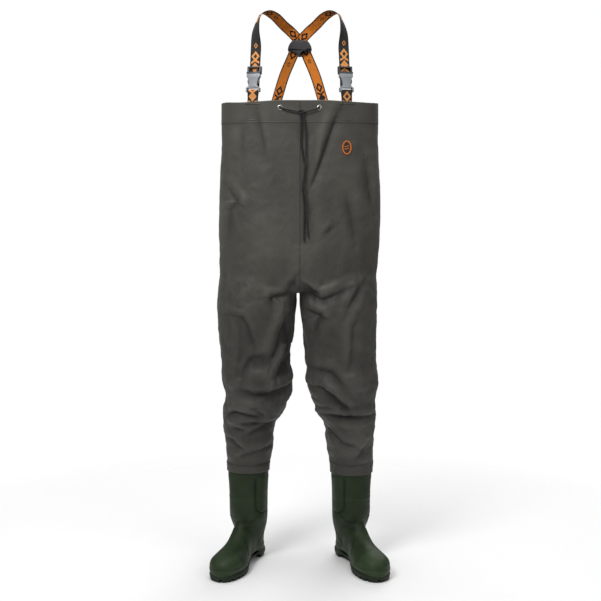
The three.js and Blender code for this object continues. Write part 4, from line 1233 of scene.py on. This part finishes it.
def boot_upper(side, sizes):
    bm = bmesh.new()
    loft(bm, levels(SHAFT, 4), 96)
    loft(bm, FOOT, 72, point_on=cut_point)
    bm = remeshed(bm, sizes.boot_grid)
    smooth(bm, bm.verts, 6)
    smooth(bm, [v for v in bm.verts if 70 * MM < v.co.z < 190 * MM], 14)
    keep(bm, below(BOOT_TOP - 1))
    mesh = to_mesh(bm, "boot")
    points, normals = read_points(mesh)
    height = boot_relief(points)
    # Depths from which the rubber's material paints shade into grooves and highlights onto ridges.
    mark_creases(mesh, (0.3 - height) / 2)
    write_points(mesh, points + normals * height[:, None])
    return seated_boot(mesh, side)


def seated_boot(mesh, side):
    """Puts a boot's piece, made for the left foot, on its own side."""
    if side < 0:
        mesh.transform(Matrix.Diagonal((-1, 1, 1, 1)))
        mesh.flip_normals()
    mesh.transform(boot_place(side))
    return mesh


def sole_ring(offset, z, count=140):
    """Points round the sole's outline at a height, grown by an offset."""
    outline = [Vector((x, y, 0)) for x, y in SOLE]
    return [Vector((*point.xy, z)) * MM for point in closed_ring(outline, count, offset)]


# A sole's and an insole's cut edges: how far out from the outline, and how high.
SOLE_EDGE = (-2, 8.2), (-0.6, 9.2), (0.4, 12), (0.4, 22), (-1.5, 26)
CLEAT_EDGE = (-3.4, 0), (-1.8, 1.4), (-1.4, 10)
INSOLE_EDGE = (-9, 32.4), (-8, 33.4), (-8, 35.8), (-9.2, 37)
CLEAT_PITCH, CLEAT_GROOVE, ROW_GAP = 21, 7, 3
FORE_START = -84
HEEL_BARS = [(18, 37), (44, 62), (67, 90)]
FORE_BARS = [
    (FORE_START + CLEAT_GROOVE - CLEAT_PITCH * i, FORE_START - CLEAT_PITCH * (i - 1)) for i in range(7)
] + [(-240, -212)]
ARCH_RISE, FORE_DROP = 8, 7


def add_cleat(bm, back, front, row):
    """One bar of the tread, from back to front, in the row on one side of the middle."""
    cleat = bmesh.new()
    ring_loft(cleat, [sole_ring(offset, z) for offset, z in CLEAT_EDGE])
    planes = ((0, back, 0), (0, -1, 0)), ((0, front, 0), (0, 1, 0)), beyond(ROW_GAP, row)
    for plane in planes:
        keep(cleat, plane)
        rims = [edge for edge in cleat.edges if edge.is_boundary]
        if rims:
            bmesh.ops.contextual_create(cleat, geom=rims)
    if len(cleat.faces) >= 4:
        bmesh.ops.recalc_face_normals(cleat, faces=cleat.faces)
        part = bpy.data.meshes.new("cleat")
        cleat.to_mesh(part)
        bm.from_mesh(part)
        bpy.data.meshes.remove(part)
    cleat.free()


def sole_mesh(side):
    """The slab of the sole, with an arch, and its cleats in two rows."""
    bm = bmesh.new()
    ring_loft(bm, [sole_ring(offset, z) for offset, z in SOLE_EDGE])
    for vert in bm.verts:
        y = vert.co.y / MM
        heel = between(-20, 12, y)
        arch = between(-84, -66, y) * (1 - between(8, 19, y))
        if vert.co.z < 20 * MM:
            vert.co.z += ARCH_RISE * MM * arch
        else:
            vert.co.z -= FORE_DROP * MM * (1 - heel)
        vert.co.x *= 1 + 0.035 * heel
    for back, front in HEEL_BARS + FORE_BARS:
        for row in (-1, 1):
            add_cleat(bm, back, front, row)
    return seated_boot(to_mesh(bm, "sole", 38), side)


LINING_IN = 4.6  # from a boot's outside to its lining


def lining_mesh(side):
    bm = bmesh.new()
    loft(bm, [taken_in(section, LINING_IN) for section in levels(SHAFT, 6)], 64)
    inner_foot = [
        cut._replace(
            inner=cut.inner + LINING_IN, outer=cut.outer - LINING_IN, low=30 - 3 * (cut.low > 14),
            top=max(cut.top - LINING_IN, 40),
        )
        for cut in FOOT[1:]
    ]
    loft(bm, inner_foot, 64, point_on=cut_point)
    bm = remeshed(bm, 4 * MM)
    smooth(bm, bm.verts, 8)
    keep(bm, below(BOOT_TOP - 6), above(28))
    return seated_boot(to_mesh(bm, "lining"), side)


class WADERS_OT_boots(bpy.types.Operator):
    """Moulded boots with cleated soles, linings and insoles"""

    bl_idname = "waders.boots"
    bl_label = "Boots"

    def execute(self, context):
        sizes, colours = context.scene.waders_sizes, context.scene.waders_colours
        rubber = rubber_finish("boot_rubber", tuple(colours.rubber))
        sole_rubber = rubber_finish("sole_rubber", tuple(colours.sole), 0.6)
        knit = knit_finish("boot_knit", tuple(colours.lining))
        felt = felt_finish("insole_felt", tuple(colours.insole))
        for side_name, side in SIDES.items():
            place(f"boot_shell_{side_name}", boot_upper(side, sizes), [rubber], "rubber",
                  stands_for=[f"boot_upper_{side_name}"], wall=sizes.boot_wall)
            sole = place(f"cleated_sole_{side_name}", sole_mesh(side), [sole_rubber], "sole",
                         stands_for=[f"outsole_{side_name}"])
            bevel = sole.modifiers.new("Worn edges", "BEVEL")
            bevel.width = 0.7 * MM
            bevel.segments = 2
            bevel.limit_method = "ANGLE"
            bevel.angle_limit = radians(50)
            place(f"knit_lining_{side_name}", lining_mesh(side), [knit], "lining",
                  stands_for=[f"boot_lining_{side_name}"], wall=1 * MM)
            bm = bmesh.new()
            ring_loft(bm, [sole_ring(offset, z, 90) for offset, z in INSOLE_EDGE])
            mesh = seated_boot(to_mesh(bm, "insole", 40), side)
            place(f"felt_insole_{side_name}", mesh, [felt], "insole", stands_for=[f"insole_{side_name}"])
        return {"FINISHED"}


# ------------------------------------------------------------------ braces

Control = namedtuple("Control", "point facing")


def ribbon(controls, width, steps, across=8):
    """A flat strip on curves through the controls, with its UV map in webbing widths."""
    points = [c.point for c in controls]
    facings = [c.facing for c in controls]
    shares, run = even_steps(points, steps)
    bm = bmesh.new()
    uv = bm.loops.layers.uv.new("UVMap")
    bmesh.ops.create_grid(bm, x_segments=across, y_segments=steps, size=1, calc_uvs=True)
    for vert in bm.verts:
        t = shares[round((vert.co.y + 1) / 2 * steps)]
        sideways = vert.co.x
        ahead = curve_point(points, min(t + 0.002, 1)) - curve_point(points, max(t - 0.002, 0))
        ahead.normalize()
        facing = curve_point(facings, t)
        facing = (facing - ahead * facing.dot(ahead)).normalized()
        bow = -0.35 * sideways**2
        across_strap = ahead.cross(facing) * sideways * width / 2
        vert.co = (curve_point(points, t) + across_strap + facing * bow) * MM
    for face in bm.faces:
        for loop in face.loops:
            loop[uv].uv.y *= run / width
    return to_mesh(bm, "ribbon")


def tab_place(side):
    """Where a front tab stands on the rim, turned to lie along it."""
    return Matrix.Translation((side * TAB_X, TAB_Y, 0)) @ Matrix.Rotation(side * TAB_YAW, 4, "Z")


BAR_BACK, BUCKLE_Z, BUCKLE_LEAN, TAB_BOTTOM = 4.216, 1380, radians(-8), 1293


def buckle_place(side):
    """Where the bar of a socket is: behind the tab's front layer, and leaning back."""
    bar = Matrix.Translation((0, BAR_BACK, BUCKLE_Z))
    return tab_place(side) @ bar @ Matrix.Rotation(BUCKLE_LEAN, 4, "X")


def tab_controls(side):
    """Doubled round the socket's bar, and down behind the hem."""
    frame_matrix = tab_place(side)
    turn = frame_matrix.to_3x3()
    radius, layer = 4.1, 1.4
    rise = TAB_BOTTOM + 0.4 * (RIM - TAB_BOTTOM)
    rows = [
        (layer, TAB_BOTTOM, 1, 0), (layer, rise, 1, 0), (layer, RIM - 8, 1, 0),
        (layer + BAR_BACK / 2, RIM + 12, 1, -0.1), (BAR_BACK + radius, BUCKLE_Z - 1, 1, 0),
    ]
    for degrees in (45, 90, 135):
        away = (cos(radians(degrees)), sin(radians(degrees)))
        rows.append((BAR_BACK + radius * away[0], BUCKLE_Z + radius * away[1], *away))
    rows += [
        (BAR_BACK - radius, BUCKLE_Z - 1, -1, 0), (-layer + BAR_BACK / 2, RIM + 12, -1, 0.1),
        (-layer, RIM - 8, -1, 0), (-layer, rise, -1, 0), (-layer, TAB_BOTTOM, -1, 0),
    ]
    return [
        Control(frame_matrix @ Vector((0, y, z)), turn @ Vector((0, ny, nz))) for y, z, ny, nz in rows
    ]


def chest_seat(x, depth, facing):
    """How far back the rim is at a place across it, and how it is turned there."""
    half, reach = CHEST_HALF - depth, CHEST_REACH - depth
    share = abs(x) / half
    fall = (1 - share**CHEST_POWER) ** (1 / CHEST_POWER)
    steepness = (share / fall) ** (CHEST_POWER - 1) * reach / half
    return CHEST_Y + facing * reach * fall, np.arctan(steepness) * np.sign(x)


# Where the straps cross, across, back and up, and how far the crossing leans back.
CROSSING = (0, 106, 1516)
CROSSING_TILT = radians(16)


# A strap's free stretches for the left side: each point, and which way the outer face looks there.
OVER_SHOULDER = [
    ((122.5, -37, 1550), (0.78, -0.6, 0.16)), ((115, -17, 1585), (0.86, -0.2, 0.47)),
    ((97, 12, 1606), (0.3, -0.02, 0.95)), ((72, 44, 1599), (0.24, 0.4, 0.88)),
    ((46, 74, 1577), (0.12, 0.74, 0.66)),
]
ACROSS_PATCH = (29, 50), (17, 38), (1, 20), (-12, 0), (-21, -22)  # across and up from the crossing
DOWN_BACK = [((-45, 121, 1440), (0, 1, 0.1)), ((-64, 123.5, 1380), (0, 1, 0))]
IN_BACK_HEM = (74, 1344), (82, 1320), (90, 1296)
STRAP_APART = 1.8  # each strap's middle from the crossing's
HEM_INSIDE = 14.9  # from the rim's outside to the strap behind the facing


def strap_controls(side):
    """From the plug over the shoulder, through the cross patch and down into the back of the hem."""
    buckle = buckle_place(side)
    forward = buckle.to_3x3() @ Vector((0, -1, 0))
    up = Vector((0, -sin(CROSSING_TILT), cos(CROSSING_TILT)))
    out = Vector((0, cos(CROSSING_TILT), sin(CROSSING_TILT)))
    mirrored = Vector((side, 1, 1))

    def free(point, facing):
        return Control(Vector(point) * mirrored, (Vector(facing) * mirrored).normalized())

    controls = [Control(buckle @ Vector((0, 7, z)), forward) for z in (12, 40, 70, 100, 126)]
    controls += [free(*row) for row in OVER_SHOULDER]
    for across, rise in ACROSS_PATCH:
        middle = Vector(CROSSING) + up * rise + out * (-STRAP_APART * side)
        controls.append(Control(middle + Vector((side * across, 0, 0)), out))
    controls += [free(*row) for row in DOWN_BACK]
    for x, z in IN_BACK_HEM:
        y, yaw = chest_seat(x, HEM_INSIDE, 1)
        controls.append(free((-x, y, z), (-np.sin(yaw), np.cos(yaw), 0)))
    return controls


# How far along its pattern each webbing starts, in webbing widths: outer face, inner face and tab.
MOTIF_STARTS = {"left": (0.55, 0.55, 3.35), "right": (0.3, 0.3, 2.3)}
TAB_INNER_START = 0.5


class WADERS_OT_braces(bpy.types.Operator):
    """Woven shoulder straps and the two front tabs"""

    bl_idname = "waders.braces"
    bl_label = "Braces"

    def execute(self, context):
        sizes, colours = context.scene.waders_sizes, context.scene.waders_colours
        for side_name, side in SIDES.items():
            outer_start, inner_start, tab_start = MOTIF_STARTS[side_name]
            finishes = webbing_finishes(f"webbing_{side_name}", colours, outer_start, inner_start)
            mesh = ribbon(strap_controls(side), WEB, 260)
            strap = place(f"strap_webbing_{side_name}", mesh, finishes, "webbing", body=None,
                          stands_for=[f"shoulder_strap_{side_name}"], wall=sizes.webbing_thickness, offset=0)
            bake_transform(strap)
            finishes = webbing_finishes(f"tab_{side_name}", colours, tab_start, TAB_INNER_START)
            place(f"tab_webbing_{side_name}", ribbon(tab_controls(side), WEB, 90), finishes, "webbing",
                  stands_for=[f"front_tab_{side_name}"], wall=sizes.webbing_thickness, offset=0)
        return {"FINISHED"}


# ------------------------------------------------------------------ buckles, patch, eyelets, badge


def rounded_copy(node, name, finish, width):
    """A CAD piece with its flat faces joined and its edges rounded."""
    source = frame["nodes"][node]
    bm = bmesh.new()
    bm.from_mesh(source.data)
    bmesh.ops.remove_doubles(bm, verts=bm.verts, dist=0.01 * MM)
    bmesh.ops.dissolve_limit(bm, angle_limit=radians(2), verts=bm.verts, edges=bm.edges)
    edges = [e for e in bm.edges if e.is_manifold and e.calc_face_angle(0) > radians(32)]
    bmesh.ops.bevel(
        bm, geom=edges, offset=width * MM, segments=3, profile=0.5, affect="EDGES", material=-1,
        clamp_overlap=True,
    )
    return place(name, to_mesh(bm, name, 40), [finish], "buckle", body=source["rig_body"], stands_for=[node])


class WADERS_OT_buckles(bpy.types.Operator):
    """Side-release buckles: sockets, plugs and prongs"""

    bl_idname = "waders.buckles"
    bl_label = "Buckles"

    def execute(self, context):
        colours = context.scene.waders_colours
        grey = plastic_finish("buckle_plastic", tuple(colours.buckle))
        dark = plastic_finish("plug_plastic", tuple(colours.plug))
        for side_name in SIDES:
            rounded_copy(f"buckle_socket_{side_name}", f"socket_{side_name}", grey, 0.9)
            rounded_copy(f"buckle_plug_{side_name}", f"plug_frame_{side_name}", dark, 0.6)
            for row in ("inner", "outer"):
                name = f"prong_{side_name}_{row}"
                rounded_copy(f"buckle_{name}", name, dark, 0.5)
        return {"FINISHED"}


# Half of the patch's outline, across and up from its middle, from the top round to the bottom lobe.
PATCH = [
    (0, 24.5), (12, 24), (21, 21), (27.5, 15), (32.5, 6), (34.6, -2), (33.6, -8), (30.5, -9), (27, -5.6),
    (22.5, -6.4), (18.5, -10.2), (12, -12.4), (8, -15), (7.6, -19), (7, -22.4), (3.6, -24.4), (0, -24.8),
]
# The patch's cut edge: how far in from the outline, and how far out from the middle of its layer.
PATCH_EDGE = [
    (0.5, -1), (0, -0.6), (0, 0.6), (0.5, 1), (2.6, 1.05), (3, 0.7), (3.6, 0.7), (4, 1.05), (6.4, 1.1),
]


def patch_ring(inset, depth, count=150):
    """Points round the patch's outline, standing up, taken in by an inset."""
    outline = [Vector((x, y, 0)) for x, y in PATCH]
    outline += [Vector((-p.x, p.y, 0)) for p in outline[-2:0:-1]]
    return [Vector((p.x, depth, p.y)) * MM for p in closed_ring(outline, count, -inset)]


class WADERS_OT_cross_patch(bpy.types.Operator):
    """Two layers of the patch that holds the straps where they cross"""

    bl_idname = "waders.cross_patch"
    bl_label = "Cross patch"

    def execute(self, context):
        finish = plastic_finish("patch_leatherette", tuple(context.scene.waders_colours.patch), 0.62)
        crossing = Matrix.Translation(Vector(CROSSING) * MM) @ Matrix.Rotation(CROSSING_TILT, 4, "X")
        for layer, facing in (("inner", -1), ("outer", 1)):
            low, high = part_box(f"cross_patch_{layer}")
            offset = ((low.y + high.y) / 2 / MM - CROSSING[1]) / cos(CROSSING_TILT)
            bm = bmesh.new()
            ring_loft(bm, [patch_ring(inset, facing * depth) for inset, depth in PATCH_EDGE])
            bm.transform(crossing @ Matrix.Translation((0, offset * MM, 0)))
            mesh = to_mesh(bm, "patch", 40)
            place(f"patch_{layer}", mesh, [finish], "patch", stands_for=[f"cross_patch_{layer}"])
        return {"FINISHED"}


def turned(profile, segments=48):
    """A closed ring from its cut outline, given as radius and depth."""
    bm = bmesh.new()
    verts = [bm.verts.new((radius * MM, depth * MM, 0)) for radius, depth in profile]
    edges = [bm.edges.new((a, b)) for a, b in zip(verts, verts[1:] + verts[:1])]
    bmesh.ops.spin(
        bm, geom=verts + edges, cent=(0, 0, 0), axis=(0, 1, 0), angle=tau, steps=segments, use_merge=True
    )
    bmesh.ops.remove_doubles(bm, verts=bm.verts, dist=0.001 * MM)
    bmesh.ops.recalc_face_normals(bm, faces=bm.faces)
    return bm


# Cut outlines of an eyelet and of its washer, as radius and depth behind the cloth's face.
ROLLED = [
    (3.8, 4.9), (3.8, -0.7), (4.1, -1.15), (4.7, -1.4), (5.5, -1.4), (6.3, -1.15), (6.9, -0.7), (7.1, -0.1),
    (6.8, 0), (6.2, -0.3), (5.4, -0.35), (4.6, -0.1), (4.5, 4.9),
]
WASHER = [(4.95, 4.15), (5.6, 4.15), (5.7, 4.4), (5.7, 4.75), (5.6, 4.95), (4.95, 4.95)]


class WADERS_OT_eyelets(bpy.types.Operator):
    """Rolled metal eyelets and the washers behind the fabric"""

    bl_idname = "waders.eyelets"
    bl_label = "Eyelets"

    def execute(self, context):
        finish = metal_finish("nickel", tuple(context.scene.waders_colours.metal))
        _, yaw = chest_seat(EYELET_X, 0, -1)
        for side_name, side in SIDES.items():
            low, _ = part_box(f"eyelet_{side_name}")
            front = Vector((side * EYELET_X, low.y / MM + 1.5, TUNNEL)) * MM
            seat = Matrix.Translation(front) @ Matrix.Rotation(side * yaw, 4, "Z")
            for profile, name, node in (
                (ROLLED, "rolled_eyelet", "eyelet"), (WASHER, "washer", "eyelet_washer"),
            ):
                bm = turned(profile)
                bm.transform(seat)
                mesh = to_mesh(bm, name, 60)
                place(f"{name}_{side_name}", mesh, [finish], "eyelet", stands_for=[f"{node}_{side_name}"])
        return {"FINISHED"}


BADGE_HALF_WIDTH, BADGE_HALF_HEIGHT, BADGE_THICKNESS = 13.5, 19, 1.5
BADGE_STEPS = (0.5, 0.1), (1.3, 0), (0.4, -0.6), (1.0, 0)  # each inset of the face, and how far it rises
WAVE_HALF_LENGTH, WAVE_SWING, WAVE_HALF_WIDTH, WAVE_SEAT = 7.2, 1.7, 0.95, 0.95


def badge_plate():
    """An oval plate lying flat, with a rim round its sunken ground."""
    bm = bmesh.new()
    bmesh.ops.create_circle(bm, cap_ends=True, segments=72, radius=BADGE_HALF_WIDTH * MM)
    bmesh.ops.scale(bm, vec=(1, BADGE_HALF_HEIGHT / BADGE_HALF_WIDTH, 1), verts=bm.verts)
    walls = bmesh.ops.extrude_face_region(bm, geom=bm.faces[:])
    top = [part for part in walls["geom"] if isinstance(part, bmesh.types.BMFace)]
    verts = list({vert for face in top for vert in face.verts})
    bmesh.ops.translate(bm, vec=(0, 0, BADGE_THICKNESS * MM), verts=verts)
    for thickness, depth in BADGE_STEPS:
        bmesh.ops.inset_region(bm, faces=top, thickness=thickness * MM, depth=depth * MM)
    for face in top:
        face.material_index = 1
    bmesh.ops.recalc_face_normals(bm, faces=bm.faces)
    return bm


def badge_wave(rise):
    """A raised wavy bar across the badge, crowned in the middle."""
    bm = bmesh.new()
    bmesh.ops.create_grid(bm, x_segments=40, y_segments=3, size=1)
    for vert in bm.verts:
        along, across = vert.co.x, vert.co.y
        up = rise + WAVE_SWING * sin(along * 3.4) + across * WAVE_HALF_WIDTH
        crown = 0.55 * (1 - 0.5 * across**2)
        vert.co = Vector((along * WAVE_HALF_LENGTH, up, WAVE_SEAT + crown)) * MM
    return bm


class WADERS_OT_badge(bpy.types.Operator):
    """Oval chest badge with a raised rim and two waves"""

    bl_idname = "waders.badge"
    bl_label = "Badge"

    def execute(self, context):
        colours = context.scene.waders_colours
        bright = plastic_finish("badge_rubber", tuple(colours.badge), 0.5)
        ground = plastic_finish("badge_ground", tuple(colours.badge_ground), 0.6)
        low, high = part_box("badge")
        _, yaw = chest_seat(BADGE_X, 0, -1)
        spot = Matrix.Translation((low + high) / 2 + Vector((0, 0.7 * MM, 0)))
        seat = spot @ Matrix.Rotation(yaw, 4, "Z") @ Matrix.Rotation(radians(90), 4, "X")
        bm = badge_plate()
        bm.transform(seat)
        place("badge_plate", to_mesh(bm, "badge_plate", 40), [bright, ground], "badge", stands_for=["badge"])
        for number, rise in enumerate((3.4, -3.4)):
            bm = badge_wave(rise)
            bm.transform(seat)
            place(f"badge_wave_{number + 1}", to_mesh(bm, "wave"), [bright], "badge", wall=0.5 * MM)
        return {"FINISHED"}


# ------------------------------------------------------------------ stage


def white_room(ambient):
    """A white surround, seen at full brightness, that lights the object gently."""
    world = bpy.data.worlds.new("studio")
    world.use_nodes = True
    tree = world.node_tree
    soft = tree.nodes["Background"]
    soft.inputs["Color"].default_value = (1, 1, 1, 1)
    soft.inputs["Strength"].default_value = ambient
    seen = tree.nodes.new("ShaderNodeBackground")
    seen.inputs["Color"].default_value = (1, 1, 1, 1)
    path = tree.nodes.new("ShaderNodeLightPath")
    either = tree.nodes.new("ShaderNodeMixShader")
    tree.links.new(path.outputs["Is Camera Ray"], either.inputs[0])
    tree.links.new(soft.outputs[0], either.inputs[1])
    tree.links.new(seen.outputs[0], either.inputs[2])
    tree.links.new(either.outputs[0], tree.nodes["World Output"].inputs["Surface"])
    return world


CAMERA_PLACE, CAMERA_DIP, CAMERA_LENS = (0.002, -3.3, 1.13), 5.9, 68.9  # metres, degrees, millimetres
Lamp = namedtuple("Lamp", "name place size power")
LAMPS = (
    Lamp("key", (-1.1, -1.75, 2.75), 0.9, 43), Lamp("fill", (1.9, -2.1, 2.5), 1.5, 14),
    Lamp("top", (0, 0.2, 3.6), 2.0, 66), Lamp("back", (0.8, 3.0, 2.6), 2.0, 40),
)
LAMPS_AIM = Vector((0, 0, 1))
FLOOR_RADIUS, FLOOR_FADE = 1.6, (0.55, 1.5)


def add_lamp(lamp):
    light = bpy.data.lights.new(lamp.name, "AREA")
    light.size, light.energy = lamp.size, lamp.power
    holder = bpy.data.objects.new(lamp.name, light)
    holder.location = lamp.place
    holder.rotation_euler = (LAMPS_AIM - holder.location).to_track_quat("-Z", "Y").to_euler()
    bpy.context.scene.collection.objects.link(holder)


class WADERS_OT_stage(bpy.types.Operator):
    """Camera, soft studio lights and a plain pale sweep of floor"""

    bl_idname = "waders.stage"
    bl_label = "Stage"

    def execute(self, context):
        scene = context.scene
        scene.view_settings.view_transform = "Standard"
        view = bpy.data.cameras.new("camera")
        view.lens, view.sensor_width = CAMERA_LENS, 36
        camera = bpy.data.objects.new("camera", view)
        camera.location = CAMERA_PLACE
        camera.rotation_euler = (radians(90 - CAMERA_DIP), 0, 0)
        scene.collection.objects.link(camera)
        scene.camera = camera
        scene.world = white_room(0.2)
        for lamp in LAMPS:
            add_lamp(lamp)
        paper = Finish("studio_paper", (0.95, 0.95, 0.95), 1)
        reach = paper.add("ShaderNodeVectorMath", {"operation": "LENGTH"}, Vector=paper.object)
        paper.blend_to_clear(paper.ramp(reach.outputs["Value"], *FLOOR_FADE))
        bm = bmesh.new()
        bmesh.ops.create_circle(bm, cap_ends=True, segments=96, radius=FLOOR_RADIUS)
        floor = bpy.data.objects.new("floor", to_mesh(bm, "floor"))
        floor.data.materials.append(paper.material)
        scene.collection.objects.link(floor)
        return {"FINISHED"}


STEPS = (
    WADERS_OT_stage, WADERS_OT_drawcord, WADERS_OT_garment, WADERS_OT_hem, WADERS_OT_boots, WADERS_OT_braces,
    WADERS_OT_buckles, WADERS_OT_cross_patch, WADERS_OT_eyelets, WADERS_OT_badge,
)


class WADERS_PT_panel(bpy.types.Panel):
    """Sizes, colours and the steps that make the waders"""

    bl_idname = "WADERS_PT_panel"
    bl_label = "Chest waders"
    bl_space_type = "VIEW_3D"
    bl_region_type = "UI"
    bl_category = "Waders"

    def draw(self, context):
        for group in (context.scene.waders_sizes, context.scene.waders_colours):
            for name in group.__annotations__:
                self.layout.prop(group, name)
        for step in STEPS:
            self.layout.operator(step.bl_idname)


CLASSES = (WadersSizes, WadersColours, *STEPS, WADERS_PT_panel)


def register():
    for cls in CLASSES:
        bpy.utils.register_class(cls)
    bpy.types.Scene.waders_sizes = bpy.props.PointerProperty(type=WadersSizes)
    bpy.types.Scene.waders_colours = bpy.props.PointerProperty(type=WadersColours)


def unregister():
    del bpy.types.Scene.waders_sizes
    del bpy.types.Scene.waders_colours
    for cls in reversed(CLASSES):
        bpy.utils.unregister_class(cls)


def main():
    register()
    bpy.ops.waders.stage()
    bpy.ops.waders.drawcord()
    bpy.ops.waders.garment()
    bpy.ops.waders.hem()
    bpy.ops.waders.boots()
    bpy.ops.waders.braces()
    bpy.ops.waders.buckles()
    bpy.ops.waders.cross_patch()
    bpy.ops.waders.eyelets()
    bpy.ops.waders.badge()


if __name__ == "__main__":
    main()
